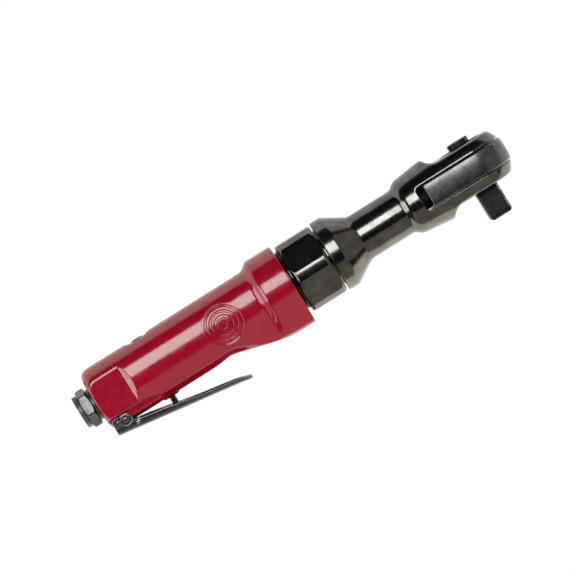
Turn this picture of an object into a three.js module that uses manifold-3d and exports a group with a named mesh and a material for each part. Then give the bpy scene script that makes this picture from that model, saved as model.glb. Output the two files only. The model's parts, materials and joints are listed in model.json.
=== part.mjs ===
// A half-inch air ratchet wrench, as an assembly of separate pieces. Millimetres.
//
// Inside the tool group X runs along the tool from the air inlet to the head, Y points to the
// reversing lever and Z completes the frame. X = 0 is the drive axis, and the crank axis is the
// X axis itself. The exported group lays the tool on its side, on the small flat of its barrel,
// with the origin under the middle of its box.
import * as THREE from "three";
import { mergeVertices } from "three/addons/utils/BufferGeometryUtils.js";
import Module from "manifold-3d";

// ---------------------------------------------------------------- driving dimensions

const GAP = 0.3; // running gap between neighbouring pieces
const INLET_END = -240.7; // rear end of the inlet collar
const HEAD_RADIUS = 20.4; // round end of the yoke, about the drive axis
const REST_DEPTH = 20.9; // from the crank axis down to the flat that the tool lies on

// Handle casting
const HANDLE_REAR = -231.1;
const HANDLE_FRONT = -111.7;
const GRIP_TOP = 17.88; // from the crank axis up to the top of the grip
const GRIP_FLOOR = -17; // flat underside of the grip
const SIDE_ARC = { radius: 25, z: -8.6, y: 0.49, end: 17 }; // nearly flat flank; ends in degrees
const SHOULDER_ARC = { radius: 12, z: 3.83, y: 4.29, end: 45 };
const TOP_ARC = { radius: 17.4, z: 0, y: 0.48, end: 90 };
const FLANK_FOOT_Y = -13.4; // where the flank turns in to the underside
const FLOOR_HALF_WIDTH = 6.5;
const PAD_DEPTH = 13.8; // the flat pads beside the inlet, from the crank axis
const PAD_FRONT = -211.5;
const BARREL_RADIUS = 21.3;
const BARREL_FLARE = { from: -133, to: -127.4 };
const BELLY_Y = -24.2; // lowest face of the barrel
const BADGE = { x: -153.1, radius: 11.4, relief: 0.45 };
const INLET_HEX = { acrossFlats: 19, turn: -16.5 }; // degrees
const INLET_THREAD = 8; // radius

// Lever and throttle valve
const LEVER_PIVOT = { x: -222.2, y: -14.6 };
const LEVER_SLOPE = THREE.MathUtils.degToRad(8.6);
const LEVER_SHEET = 1.5;
const LEVER_HALF_WIDTH = 11.6;
const LUG_HALF_WIDTH = 9.8;
const VALVE_X = -195.5;
const VALVE_SEAT_Y = -6.2;

// Motor
const MOTOR_RADIUS = 14.3;
const MOTOR_REAR = -176.1; // rear face of the rear end plate
const PLATE_LENGTH = 6;
const CYLINDER_LENGTH = 36;
const CYLINDER_BORE = 10.9;
const ECCENTRICITY = 1.4; // of the cylinder's bore
const ROTOR_RADIUS = 9.2;
const BLADE_COUNT = 5;

// Planetary gear and crank
const GEAR_MODULE = 0.65;
const SUN_TEETH = 12;
const PLANET_TEETH = 15;
const RING_TEETH = SUN_TEETH + 2 * PLANET_TEETH;
const PLANET_COUNT = 3;
const PLANET_CENTRES = (GEAR_MODULE * (SUN_TEETH + PLANET_TEETH)) / 2;
const GEAR_REAR = -126;
const PLANET_LENGTH = 11;
const CRANK_RADIUS = 6;
const CRANK_THROW = 2.2;
const CRANK_PIN_RADIUS = 2.8;
const CRANK_WEB = { radius: 6.4, front: -27.8 }; // clears the ears and the swinging fork
const BUSHING_FRONT = -22;

// Coupling nut and ratchet housing
const NUT = { x: -109.7, length: 20.8, radius: 20.9, acrossFlats: 38.8 };
const SKIRT_RADIUS = 15.9; // rear end of the ratchet housing, inside the nut
const SKIRT_REAR = -100.7;
const FLANGE = { x: -87.9, length: 6.2, radius: 20.2 };
const NECK_RADIUS = 12.7;
const SLOT_HALF_HEIGHT = 6.75;
const SLOT_REAR = -32.4;
const EAR_Y = 12.75; // outer faces of the two ears
const SQUARE = 12.7; // the half-inch drive
const SQUARE_END = -29.4;
const HUB_RADIUS = 11.6;
const YOKE_TEETH = 24;
const YOKE_TIP_RADIUS = 12.2;
const YOKE_ROOT_RADIUS = 13.2;
const PAWL_PIN_X = 7.6;
const PAWL_ANGLE = 7; // degrees about Y, in the forward setting
const PLUNGER_ANGLE = -25; // the plunger's direction in that setting, from +X
const SELECTOR_BORE = 4.3;
const BALL = { radius: 1.6, y: -24, proud: 0.5 }; // in the side face of the drive square
const BALL_CENTRE_Z = BALL.radius - BALL.proud - SQUARE / 2;

const FINE = 32; // sides of the large turned pieces
const MEDIUM = 16;
const SMALL = 10;
const MERGE_TOLERANCE = 1e-4;

// ---------------------------------------------------------------- solids and shapes

const wasm = await Module();
wasm.setup();

function solidOf(geometry) {
  const bare = geometry.clone();
  bare.deleteAttribute("normal");
  bare.deleteAttribute("uv");
  const merged = mergeVertices(bare, MERGE_TOLERANCE);
  return new wasm.Manifold(
    new wasm.Mesh({
      numProp: 3,
      vertProperties: merged.attributes.position.array,
      triVerts: new Uint32Array(merged.index.array),
    }),
  );
}

function geometryOf(solid) {
  const mesh = solid.getMesh();
  const geometry = new THREE.BufferGeometry();
  geometry.setAttribute("position", new THREE.BufferAttribute(mesh.vertProperties, 3));
  geometry.setIndex(new THREE.BufferAttribute(mesh.triVerts, 1));
  geometry.computeVertexNormals();
  return geometry;
}

function joined(...geometries) {
  return geometryOf(geometries.map(solidOf).reduce((sum, next) => sum.add(next)));
}

function common(...geometries) {
  return geometryOf(geometries.map(solidOf).reduce((sum, next) => sum.intersect(next)));
}

function cut(body, ...tools) {
  return geometryOf(tools.map(solidOf).reduce((rest, tool) => rest.subtract(tool), solidOf(body)));
}

// A polygon through [x, y] points.
function outline(points) {
  return new THREE.Shape(points.map(([x, y]) => new THREE.Vector2(x, y)));
}

function circle(radius, x = 0, y = 0) {
  const shape = new THREE.Shape();
  shape.absarc(x, y, radius, 0, 2 * Math.PI, false);
  return shape;
}

function extruded(shape, depth, segments = SMALL) {
  return new THREE.ExtrudeGeometry(shape, {
    depth,
    bevelEnabled: false,
    curveSegments: segments,
  });
}

// A side view (x, y) given a width from z = low to z = high.
function sideView(shape, low, high, segments = SMALL) {
  return extruded(shape, high - low, segments).translate(0, 0, low);
}

// A section (z, y) drawn across the tool and run from x = low to x = high.
function section(shape, low, high, segments = SMALL) {
  return extruded(shape, high - low, segments).rotateY(-Math.PI / 2).translate(high, 0, 0);
}

// A plan view (x, z) given a height from y = low to y = high.
function planView(shape, low, high, segments = SMALL) {
  return extruded(shape, high - low, segments).rotateX(Math.PI / 2).translate(0, high, 0);
}

// A turned piece about the X axis from [x, radius] points. A profile that starts off the axis
// closes on itself.
function turned(points, sides = MEDIUM) {
  const profile = points.map(([x, radius]) => new THREE.Vector2(radius, x));
  if (points[0][1] > 0) profile.push(profile[0].clone());
  return new THREE.LatheGeometry(profile, sides).rotateZ(-Math.PI / 2);
}

// The same about the Y axis, from [y, radius] points.
function turnedUpright(points, sides = MEDIUM) {
  return turned(points, sides).rotateZ(Math.PI / 2);
}

function rod(low, high, radius, sides = SMALL) {
  return turned([[low, 0], [low, radius], [high, radius], [high, 0]], sides);
}

function tube(low, high, inner, outer, sides = MEDIUM) {
  return turned([[low, inner], [low, outer], [high, outer], [high, inner]], sides);
}

function block(x, y, z) {
  const size = [x, y, z].map(([low, high]) => high - low);
  const centre = [x, y, z].map(([low, high]) => (low + high) / 2);
  return new THREE.BoxGeometry(...size).translate(...centre);
}

// A toothed outline, for outside teeth (tip > root) or inside teeth (tip < root).
function toothed(teeth, tip, root, tipHalfWidth, rootHalfWidth, turn = 0) {
  const points = [];
  for (let i = 0; i < teeth; i++) {
    const middle = turn + (2 * Math.PI * i) / teeth;
    const corners = [
      [root, -rootHalfWidth / root],
      [tip, -tipHalfWidth / tip],
      [tip, tipHalfWidth / tip],
      [root, rootHalfWidth / root],
    ];
    for (const [radius, angle] of corners) {
      points.push([radius * Math.cos(middle + angle), radius * Math.sin(middle + angle)]);
    }
  }
  return points;
}

// Points of an arc; angles in degrees.
function arc(x, y, radius, from, to, steps) {
  const points = [];
  for (let i = 0; i <= steps; i++) {
    const angle = THREE.MathUtils.degToRad(from + ((to - from) * i) / steps);
    points.push([x + radius * Math.cos(angle), y + radius * Math.sin(angle)]);
  }
  return points;
}

class Helix extends THREE.Curve {
  constructor(radius, length, turns) {
    super();
    Object.assign(this, { radius, length, turns });
  }

  getPoint(t, target = new THREE.Vector3()) {
    const angle = 2 * Math.PI * this.turns * t;
    return target.set(this.length * t, this.radius * Math.cos(angle), this.radius * Math.sin(angle));
  }
}

// A coil spring along X from x = 0.
function coil(radius, wire, length, turns) {
  const STEPS_PER_TURN = 7;
  const WIRE_SIDES = 2; // per half turn of its section
  const wireSection = circle(wire / 2);
  return new THREE.ExtrudeGeometry(wireSection, {
    steps: turns * STEPS_PER_TURN,
    curveSegments: WIRE_SIDES,
    bevelEnabled: false,
    extrudePath: new Helix(radius, length, turns),
  });
}

// ---------------------------------------------------------------- materials

function finish(color, roughness, metalness) {
  return () => new THREE.MeshStandardMaterial({ color, roughness, metalness });
}

const redPaint = finish(0x8f0a20, 0.35, 0.1);
const blackOxide = finish(0x1b1b1f, 0.3, 0.8);
const brushedSteel = finish(0x4c4d4c, 0.45, 0.9);
const brightSteel = finish(0x9a9c9e, 0.35, 0.95);
const groundSteel = finish(0x8a8b8d, 0.25, 1.0);
const castIron = finish(0x5c5d5f, 0.6, 0.8);
const bladeResin = finish(0x6b4a2b, 0.7, 0.0);
const rubber = finish(0x151515, 0.8, 0.0);
const springSteel = finish(0x6d6f72, 0.35, 1.0);
const bronze = finish(0x9c7a43, 0.45, 0.9);

// ---------------------------------------------------------------- handle casting

// The right half of the grip's section, from the underside to the top.
function gripHalf() {
  const footAngle = THREE.MathUtils.radToDeg(
    Math.asin((FLANK_FOOT_Y - SIDE_ARC.y) / SIDE_ARC.radius),
  );
  const band = ({ z, y, radius, end }, start, steps) => arc(z, y, radius, start, end, steps);
  return [
    [FLOOR_HALF_WIDTH, GRIP_FLOOR],
    ...band(SIDE_ARC, footAngle, 6),
    ...band(SHOULDER_ARC, SIDE_ARC.end, 3).slice(1),
    ...band(TOP_ARC, SHOULDER_ARC.end, 5).slice(1),
  ];
}

function gripSection() {
  const right = gripHalf();
  const left = right.map(([z, y]) => [-z, y]).reverse();
  return outline([...right, ...left.slice(1)]);
}

// The grip with its rounded rear corners.
function gripBody() {
  const CORNER = 5.5;
  const OVERLAP = 1;
  const grip = section(gripSection(), HANDLE_REAR, BARREL_FLARE.to + OVERLAP);
  const rim = GRIP_TOP + 1;
  const dome = turned(
    [
      [HANDLE_REAR, 0],
      ...arc(HANDLE_REAR + CORNER, rim - 1 - CORNER, CORNER, 180, 90, 4),
      [HANDLE_REAR + CORNER + 1, rim],
      [HANDLE_FRONT, rim],
      [HANDLE_FRONT, 0],
    ],
    FINE,
  );
  return common(grip, dome);
}

// The round front barrel, which flares out of the grip in an S curve.
function barrelBody() {
  const START_RADIUS = 15;
  const STEPS = 4;
  const flare = [];
  for (let i = 0; i <= STEPS; i++) {
    const t = i / STEPS;
    const x = THREE.MathUtils.lerp(BARREL_FLARE.from, BARREL_FLARE.to, t);
    const rise = (1 - Math.cos(Math.PI * t)) / 2;
    flare.push([x, THREE.MathUtils.lerp(START_RADIUS, BARREL_RADIUS, rise)]);
  }
  const barrel = turned(
    [[BARREL_FLARE.from, 0], ...flare, [HANDLE_FRONT, BARREL_RADIUS], [HANDLE_FRONT, 0]],
    FINE,
  );
  const farSide = block([-140, -100], [-30, 30], [-30, -REST_DEPTH]);
  return cut(barrel, farSide);
}

// The belly under the barrel, which runs back into the grip.
function bellyBody() {
  const lean = THREE.MathUtils.degToRad(25);
  const FOOT = { z: 13.3, y: -21.8 };
  const FLOOR_HALF = 10.6;
  const tangent = [BARREL_RADIUS * Math.cos(lean), -BARREL_RADIUS * Math.sin(lean)];
  const half = [
    [FLOOR_HALF, BELLY_Y],
    [FOOT.z - 0.9, BELLY_Y + 0.8],
    [FOOT.z, FOOT.y],
    [tangent[0] - 0.05, tangent[1]],
    [BARREL_RADIUS - 3, -4],
  ];
  const mirrored = [...half].reverse().map(([z, y]) => [-z, y]);
  const across = section(outline([...half, ...mirrored]), -156, HANDLE_FRONT);
  const side = sideView(
    outline([
      [-154.5, GRIP_FLOOR + 1],
      [-153.8, GRIP_FLOOR],
      [-136.8, -21.7],
      [-128.3, -23.7],
      [-122, BELLY_Y],
      [HANDLE_FRONT, BELLY_Y],
      [HANDLE_FRONT, -2],
      [-146, -2],
    ]),
    -30,
    30,
  );
  const plan = planView(
    outline([
      [-156, -12.2],
      [-136, -15.6],
      [-131, -18],
      [-126, -REST_DEPTH],
      [HANDLE_FRONT, -REST_DEPTH],
      [HANDLE_FRONT, 22],
      [-126, 22],
      [-131, 18],
      [-136, 15.6],
      [-156, 12.2],
    ]),
    -30,
    5,
  );
  return common(across, side, plan);
}

// The round boss on the near flank, which carries a plain pattern of rings.
function badgeBoss() {
  const swell = BADGE.relief;
  const skin = section(
    outline([
      ...arc(SIDE_ARC.z, SIDE_ARC.y, SIDE_ARC.radius + swell, -33, SIDE_ARC.end, 8),
      ...arc(SHOULDER_ARC.z, SHOULDER_ARC.y, SHOULDER_ARC.radius + swell, SIDE_ARC.end, 50, 4),
      [2, 10],
      [2, -10],
    ]),
    BADGE.x - 15,
    BADGE.x + 15,
  );
  return common(skin, sideView(circle(BADGE.radius, BADGE.x, 0), 2, 25, 9));
}

function handleCavities() {
  const valve = turnedUpright(
    [
      [-30, 0],
      [-30, 3.2],
      [VALVE_SEAT_Y, 3.2],
      [VALVE_SEAT_Y, 4.9],
      [7, 4.9],
      [7, 5.6],
      [16.6, 5.6],
      [16.6, 6.6],
      [18.5, 7.6],
      [18.5, 0],
    ],
    MEDIUM,
  ).translate(VALVE_X, 0, 0);
  const bores = turned(
    [
      [MOTOR_REAR - GAP, 0],
      [MOTOR_REAR - GAP, MOTOR_RADIUS + GAP],
      [-127.2, MOTOR_RADIUS + GAP],
      [-127.2, 16.9],
      [-110, 16.9],
      [-110, 0],
    ],
    FINE,
  );
  const inlet = rod(HANDLE_REAR - 1, -213.5, 8.3, MEDIUM);
  const feed = rod(-214, VALVE_X, 3.2).translate(0, 2.5, 0);
  const outlet = rod(VALVE_X, MOTOR_REAR, 1.9, 8).translate(0, -8.3, 0);
  const exhausts = [-8.5, 8.5].map((z) =>
    rod(HANDLE_REAR - 1, MOTOR_REAR, 1.8, 8).translate(0, 10.8, z),
  );
  const leverPin = sideView(circle(1.8, LEVER_PIVOT.x, LEVER_PIVOT.y), -25, 25, 10);
  return [valve, bores, inlet, feed, outlet, ...exhausts, leverPin];
}

// The flat pads beside the inlet and the recesses that the lever's ears swing in.
function handleFlanks() {
  const RECESS_Y = -11;
  const pad = outline([
    [HANDLE_REAR - 1, PAD_DEPTH],
    [PAD_FRONT, PAD_DEPTH],
    [PAD_FRONT + 4.2, 20],
    [HANDLE_REAR - 1, 20],
  ]);
  const farPad = outline([
    [HANDLE_REAR - 1, -20],
    [PAD_FRONT + 4.2, -20],
    [PAD_FRONT, -PAD_DEPTH],
    [HANDLE_REAR - 1, -PAD_DEPTH],
  ]);
  const recess = outline([
    [HANDLE_REAR - 1, RECESS_Y],
    [HANDLE_REAR - 1, -20],
    [-196, -20],
    [-196, -16.8],
    [-200, -13.8],
    [-205, -11.6],
    [-209, RECESS_Y],
  ]);
  return [
    planView(pad, -10.7, 14),
    planView(farPad, -10.7, 14),
    sideView(recess, LUG_HALF_WIDTH, 20),
    sideView(recess, -20, -LUG_HALF_WIDTH),
  ];
}

function handleHousing() {
  const boss = turnedUpright([[-17.9, 0], [-17.9, 4], [-15, 5], [-15, 0]], SMALL).translate(VALVE_X, 0, 0);
  const outside = joined(gripBody(), barrelBody(), bellyBody(), badgeBoss(), boss);
  return cut(outside, ...handleFlanks(), ...handleCavities());
}

// ---------------------------------------------------------------- air inlet

// A hexagon with its first corner at `turn` degrees.
function hexagon(acrossFlats, turn) {
  const radius = acrossFlats / Math.sqrt(3);
  return outline(arc(0, 0, radius, turn, turn + 300, 5));
}

function inletBushing() {
  const NOSE_RADIUS = 7.65;
  const body = turned([
    [-240.2, 0],
    [-240.2, NOSE_RADIUS - 0.4],
    [-239.8, NOSE_RADIUS],
    [-236, NOSE_RADIUS],
    [-236, INLET_THREAD],
    [-214, INLET_THREAD],
    [-214, 0],
  ]);
  const hexDisc = turned([[-238.1, 0], [-238.1, 9.3], [-236.7, 10.97], [-232.9, 10.97], [-232.9, 0]]);
  const hex = common(section(hexagon(INLET_HEX.acrossFlats, INLET_HEX.turn), -238.1, -232.9), hexDisc);
  const bore = turned([
    [-241, 0],
    [-241, 6.75],
    [-239, 6.45],
    [-227, 5.75],
    [-227, 4.5],
    [-213, 4.5],
    [-213, 0],
  ]);
  return cut(joined(body, hex), bore);
}

function inletCollar() {
  const ROUND = 0.7;
  const outer = 8.95;
  const front = INLET_END + 2.3;
  return turned([
    [INLET_END, 7.95],
    [INLET_END, outer - ROUND],
    [INLET_END + ROUND, outer],
    [front - ROUND, outer],
    [front, outer - ROUND],
    [front, 7.95],
  ]);
}

function inletGasket() {
  return tube(-232.6, -231.4, 8.3, 8.75);
}

// A disc of sheet with seven round holes.
function inletStrainer() {
  const HOLE = 0.75;
  const RING = 2.6;
  const disc = circle(4.2);
  disc.holes.push(circle(HOLE));
  for (let i = 0; i < 6; i++) {
    const angle = (Math.PI * i) / 3;
    disc.holes.push(circle(HOLE, RING * Math.cos(angle), RING * Math.sin(angle)));
  }
  return section(disc, -216, -215.3, 3);
}

// ---------------------------------------------------------------- throttle lever and valve

// y of a line parallel to the lever's sheet, at x, raised above its outer face.
function leverLine(x, raised = 0) {
  const START = { x: -226.3, y: -20.9 };
  return START.y - (x - START.x) * Math.tan(LEVER_SLOPE) + raised / Math.cos(LEVER_SLOPE);
}

function throttleLever() {
  const REAR = -229.5;
  const BEND = -160; // where the tip turns down
  const tip = [
    [BEND, leverLine(BEND)],
    [-156.6, -32],
    [-154.7, -31.6],
    [-154.5, -30.9],
    [-156.6, -30.1],
    [BEND, leverLine(BEND, LEVER_SHEET)],
  ];
  const wing = [
    [-164, leverLine(-164, 2.3)],
    [-195, leverLine(-195, 3.2)],
    [-213, leverLine(-213, 4.2)],
    [-217.4, -18],
    [-219.7, -12.2],
    [-220.4, -11.6],
    [-228.5, -11.6],
    [-229.1, -12.2],
  ];
  const outside = outline([[REAR, leverLine(REAR) + 0.3], ...tip, ...wing, [REAR, -18]]);
  const inside = outline([
    [REAR - 2, leverLine(REAR - 2, LEVER_SHEET)],
    [BEND + 8, leverLine(BEND + 8, LEVER_SHEET)],
    [BEND + 8, -5],
    [REAR - 2, -5],
  ]);
  const inner = LEVER_HALF_WIDTH - LEVER_SHEET;
  const taper = outline([
    [REAR - 1, -LEVER_HALF_WIDTH],
    [-213, -LEVER_HALF_WIDTH],
    [-160, -9.8],
    [-155.6, -8.6],
    [-154, -5.5],
    [-154, 5.5],
    [-155.6, 8.6],
    [-160, 9.8],
    [-213, LEVER_HALF_WIDTH],
    [REAR - 1, LEVER_HALF_WIDTH],
  ]);
  const innerTaper = outline([
    [REAR - 3, -inner],
    [-213, -inner],
    [-150, -8],
    [-150, 8],
    [-213, inner],
    [REAR - 3, inner],
  ]);
  const channel = common(sideView(inside, -20, 20), planView(innerTaper, -40, 0));
  const body = common(sideView(outside, -20, 20), planView(taper, -40, 0));
  const pinHole = sideView(circle(1.8, LEVER_PIVOT.x, LEVER_PIVOT.y), -20, 20, 10);
  const pilotHole = sideView(circle(0.9, -217.4, -19.4), -20, 20, 8);
  return cut(body, channel, pinHole, pilotHole);
}

function leverPin() {
  const END = 12.2;
  const profile = [[-END, 0], [-END, 1.1], [-END + 0.4, 1.5], [END - 0.4, 1.5], [END, 1.1], [END, 0]];
  return turned(profile, SMALL).rotateY(Math.PI / 2).translate(LEVER_PIVOT.x, LEVER_PIVOT.y, 0);
}

// The pieces of the valve are drawn about the Y axis, and their group stands at VALVE_X.
function valveStem() {
  const FOOT = -23.75;
  return turnedUpright([
    [FOOT, 0],
    [FOOT, 1.2],
    [FOOT + 0.5, 1.7],
    [-4.4, 1.7],
    [-4.4, 4.2],
    [-2.2, 4.2],
    [-1.6, 3.6],
    [-1.6, 0],
  ], SMALL);
}

function valveSeal() {
  return turnedUpright([[-5.9, 2.3], [-5.9, 3.6], [-5.3, 4], [-4.7, 3.6], [-4.7, 2.3], [-5.3, 2]], SMALL);
}

function valveBushing() {
  return turnedUpright([[-17.6, 2], [-17.6, 2.9], [-10.6, 2.9], [-10.6, 2]], SMALL);
}

function valveSpring() {
  const TURNS = 4;
  return coil(3.1, 0.7, 7.1, TURNS).rotateZ(Math.PI / 2).translate(0, -0.9, 0);
}

function valvePlug() {
  const RADIUS = 5.3;
  const GROOVE = [9, 10.8, 4.3];
  const DOME = 7.9; // radius of the crowned head
  const crown = [];
  const STEPS = 3;
  for (let i = 0; i <= STEPS; i++) {
    const reach = 5 * (1 - i / STEPS);
    crown.push([GRIP_TOP - DOME + Math.sqrt(DOME * DOME - reach * reach), reach]);
  }
  return turnedUpright([
    [7.3, 0],
    [7.3, RADIUS],
    [GROOVE[0], RADIUS],
    [GROOVE[0], GROOVE[2]],
    [GROOVE[1], GROOVE[2]],
    [GROOVE[1], RADIUS],
    [15.6, RADIUS],
    ...crown,
  ]);
}

function plugORing() {
  return turnedUpright([[9.3, 4.8], [9.3, 5.1], [9.9, 5.4], [10.5, 5.1], [10.5, 4.8], [9.9, 4.6]], SMALL);
}

// ---------------------------------------------------------------- motor

const CYLINDER_REAR = MOTOR_REAR + PLATE_LENGTH + GAP;
const CYLINDER_FRONT = CYLINDER_REAR + CYLINDER_LENGTH;
const FRONT_PLATE_REAR = CYLINDER_FRONT + GAP;
const FRONT_PLATE_FRONT = FRONT_PLATE_REAR + PLATE_LENGTH;

function rearEndPlate() {
  const plate = turned([
    [MOTOR_REAR, 7.3],
    [MOTOR_REAR, MOTOR_RADIUS],
    [MOTOR_REAR + PLATE_LENGTH, MOTOR_RADIUS],
    [MOTOR_REAR + PLATE_LENGTH, 3.6],
    [MOTOR_REAR + 4.8, 3.6],
    [MOTOR_REAR + 4.8, 7.3],
  ]);
  const port = rod(MOTOR_REAR - 1, MOTOR_REAR + PLATE_LENGTH + 1, 1.8, 12).translate(0, -10.6, 0);
  return cut(plate, port);
}

function frontEndPlate() {
  return turned([
    [FRONT_PLATE_REAR, 4.6],
    [FRONT_PLATE_REAR, MOTOR_RADIUS],
    [FRONT_PLATE_FRONT, MOTOR_RADIUS],
    [FRONT_PLATE_FRONT, 8.3],
    [FRONT_PLATE_FRONT - 5.1, 8.3],
    [FRONT_PLATE_FRONT - 5.1, 4.6],
  ]);
}

// A ball bearing as one ring, dished between its races.
function bearing(low, high, inner, outer) {
  const DISH = 0.4;
  const middle = (inner + outer) / 2;
  return turned([
    [low, inner],
    [low + DISH, middle],
    [low, outer],
    [high, outer],
    [high - DISH, middle],
    [high, inner],
  ]);
}

function motorCylinder() {
  const shell = rod(CYLINDER_REAR, CYLINDER_FRONT, MOTOR_RADIUS, FINE);
  const bore = rod(CYLINDER_REAR - 1, CYLINDER_FRONT + 1, CYLINDER_BORE, FINE);
  const exhausts = [-4, 0, 4].map((x) =>
    turnedUpright([[8, 0], [8, 1.2], [20, 1.2], [20, 0]], 10).translate(
      (CYLINDER_REAR + CYLINDER_FRONT) / 2 + x,
      0,
      0,
    ),
  );
  return cut(shell, bore.translate(0, -ECCENTRICITY, 0), ...exhausts);
}

const BLADE = { thickness: 1.6, root: 4.5, tip: ROTOR_RADIUS - 0.1, travel: 1.3 };
const SUN_PITCH = (GEAR_MODULE * SUN_TEETH) / 2;
const PLANET_PITCH = (GEAR_MODULE * PLANET_TEETH) / 2;
const RING_PITCH = (GEAR_MODULE * RING_TEETH) / 2;
const ADDENDUM = 0.85 * GEAR_MODULE;
const DEDENDUM = 1.2 * GEAR_MODULE;
const TOOTH_TIP = 0.21; // half widths of a tooth, thinned for backlash
const TOOTH_ROOT = 0.69;

// The rotor, its five blade slots, its two journals and the sun pinion in one piece.
function rotor() {
  const rear = CYLINDER_REAR + GAP;
  const front = CYLINDER_FRONT - GAP;
  const body = turned([
    [MOTOR_REAR + 0.3, 0],
    [MOTOR_REAR + 0.3, 3],
    [rear, 3],
    [rear, ROTOR_RADIUS],
    [front, ROTOR_RADIUS],
    [front, 4],
    [GEAR_REAR - 0.6, 4],
    [GEAR_REAR - 0.6, 0],
  ], 30);
  const slots = [];
  for (let i = 0; i < BLADE_COUNT; i++) {
    const half = BLADE.thickness / 2 + GAP;
    const slot = block([rear - 1, front + 1], [BLADE.root - BLADE.travel - GAP, 12], [-half, half]);
    slots.push(slot.rotateX(bladeAngle(i)));
  }
  const pinionOutline = outline(
    toothed(SUN_TEETH, SUN_PITCH + ADDENDUM, SUN_PITCH - DEDENDUM, TOOTH_TIP, TOOTH_ROOT),
  );
  const pinion = section(pinionOutline, GEAR_REAR - 1, GEAR_REAR + PLANET_LENGTH);
  return joined(cut(body, ...slots), pinion);
}

function bladeAngle(i) {
  return (2 * Math.PI * i) / BLADE_COUNT;
}

// One blade, drawn pointing along +Y.
function rotorBlade() {
  const half = BLADE.thickness / 2;
  return block(
    [CYLINDER_REAR + 2 * GAP, CYLINDER_FRONT - 2 * GAP],
    [BLADE.root, BLADE.tip],
    [-half, half],
  );
}

// ---------------------------------------------------------------- gears and crank

function ringGear() {
  const FRONT = -101;
  const REAR = -127;
  const THREAD_STEP = HANDLE_FRONT + GAP;
  const body = turned([
    [REAR, 0],
    [REAR, 16.5],
    [THREAD_STEP, 16.5],
    [THREAD_STEP, 16.8],
    [THREAD_STEP + 0.4, 17.2],
    [FRONT - 0.4, 17.2],
    [FRONT, 16.8],
    [FRONT, 0],
  ], 30);
  const teeth = outline(
    toothed(
      RING_TEETH,
      RING_PITCH - ADDENDUM,
      RING_PITCH + DEDENDUM,
      TOOTH_TIP,
      TOOTH_ROOT - 0.35,
      Math.PI / RING_TEETH,
    ),
  );
  return cut(body, section(internalSpace(), REAR - 1, FRONT + 1), section(teeth, REAR - 1, FRONT + 1));
}

// The open middle of the ring gear: a circle just inside its tooth tips.
function internalSpace() {
  return circle(RING_PITCH - ADDENDUM - 0.5);
}

function planetAngle(k) {
  return (2 * Math.PI * k) / PLANET_COUNT;
}

// Where planet k sits: [y, z].
function planetCentre(k) {
  return [PLANET_CENTRES * Math.sin(planetAngle(k)), PLANET_CENTRES * Math.cos(planetAngle(k))];
}

// Planet k is turned so that its teeth stand in the sun's spaces and in the ring's.
function planetGear(k) {
  const angle = planetAngle(k);
  const turn = angle + Math.PI + Math.PI / PLANET_TEETH + (angle * SUN_TEETH) / PLANET_TEETH;
  const shape = outline(
    toothed(PLANET_TEETH, PLANET_PITCH + ADDENDUM, PLANET_PITCH - DEDENDUM, TOOTH_TIP, TOOTH_ROOT, turn),
  );
  shape.holes.push(circle(2));
  return section(shape, GEAR_REAR, GEAR_REAR + PLANET_LENGTH, 6);
}

function planetPin() {
  return rod(GEAR_REAR - 0.3, -106.4, 1.7, 16);
}

const CARRIER = { rear: GEAR_REAR + PLANET_LENGTH + GAP, front: -106, radius: 12.2 };

function crankshaft() {
  const body = turned([
    [CARRIER.rear, 0],
    [CARRIER.rear, CARRIER.radius],
    [CARRIER.front, CARRIER.radius],
    [CARRIER.front, 8],
    [-98.3, 8],
    [-98.3, CRANK_RADIUS],
    [-91, CRANK_RADIUS],
    [-91, 5],
    [-39.7, 5],
    [-39.7, 7.4],
    [-33.4, 7.4],
    [-33.4, CRANK_WEB.radius],
    [CRANK_WEB.front, CRANK_WEB.radius],
    [CRANK_WEB.front, 0],
  ], 28);
  const pin = rod(CRANK_WEB.front - 1, BUSHING_FRONT - 0.2, CRANK_PIN_RADIUS);
  const holes = [];
  for (let k = 0; k < PLANET_COUNT; k++) {
    const [y, z] = planetCentre(k);
    holes.push(rod(CARRIER.rear - 1, CARRIER.front + 1, 2, 16).translate(0, y, z));
  }
  return cut(joined(body, pin.translate(0, CRANK_THROW, 0)), ...holes);
}

function driveBushing() {
  const OUTER = 4.2;
  const ring = tube(CRANK_WEB.front + GAP, BUSHING_FRONT, CRANK_PIN_RADIUS + GAP, OUTER, SMALL);
  return ring.translate(0, CRANK_THROW, 0);
}

// ---------------------------------------------------------------- coupling nut

function couplingNut() {
  const rear = NUT.x;
  const front = NUT.x + NUT.length;
  const CHAMFER = 1.5;
  const SHOULDER = -97.5;
  const barrel = turned([
    [rear, 0],
    [rear, NUT.radius - CHAMFER],
    [rear + CHAMFER * 0.6, NUT.radius],
    [front - CHAMFER * 0.6, NUT.radius],
    [front, NUT.radius - CHAMFER],
    [front, 0],
  ], 48);
  const hex = section(hexagon(NUT.acrossFlats, 0), rear, front);
  const bore = turned([
    [rear - 1, 0],
    [rear - 1, 17.5],
    [SHOULDER, 17.5],
    [SHOULDER, SKIRT_RADIUS + GAP],
    [front + 1, SKIRT_RADIUS + GAP],
    [front + 1, 0],
  ], 36);
  return cut(common(hex, barrel), bore);
}

// An open ring: a washer with a gap cut through one side.
function openRing(low, high, inner, outer, gap) {
  const opening = block([low - 1, high + 1], [-gap / 2, gap / 2], [0, outer + 5]);
  return cut(tube(low, high, inner, outer), opening);
}

function nutSnapRing() {
  return openRing(-99.2, -98, 14.8, 17.2, 5);
}

// ---------------------------------------------------------------- ratchet head

const CONE_TANGENT = 6.9; // degrees: the head's cone runs into its round end here

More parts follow.
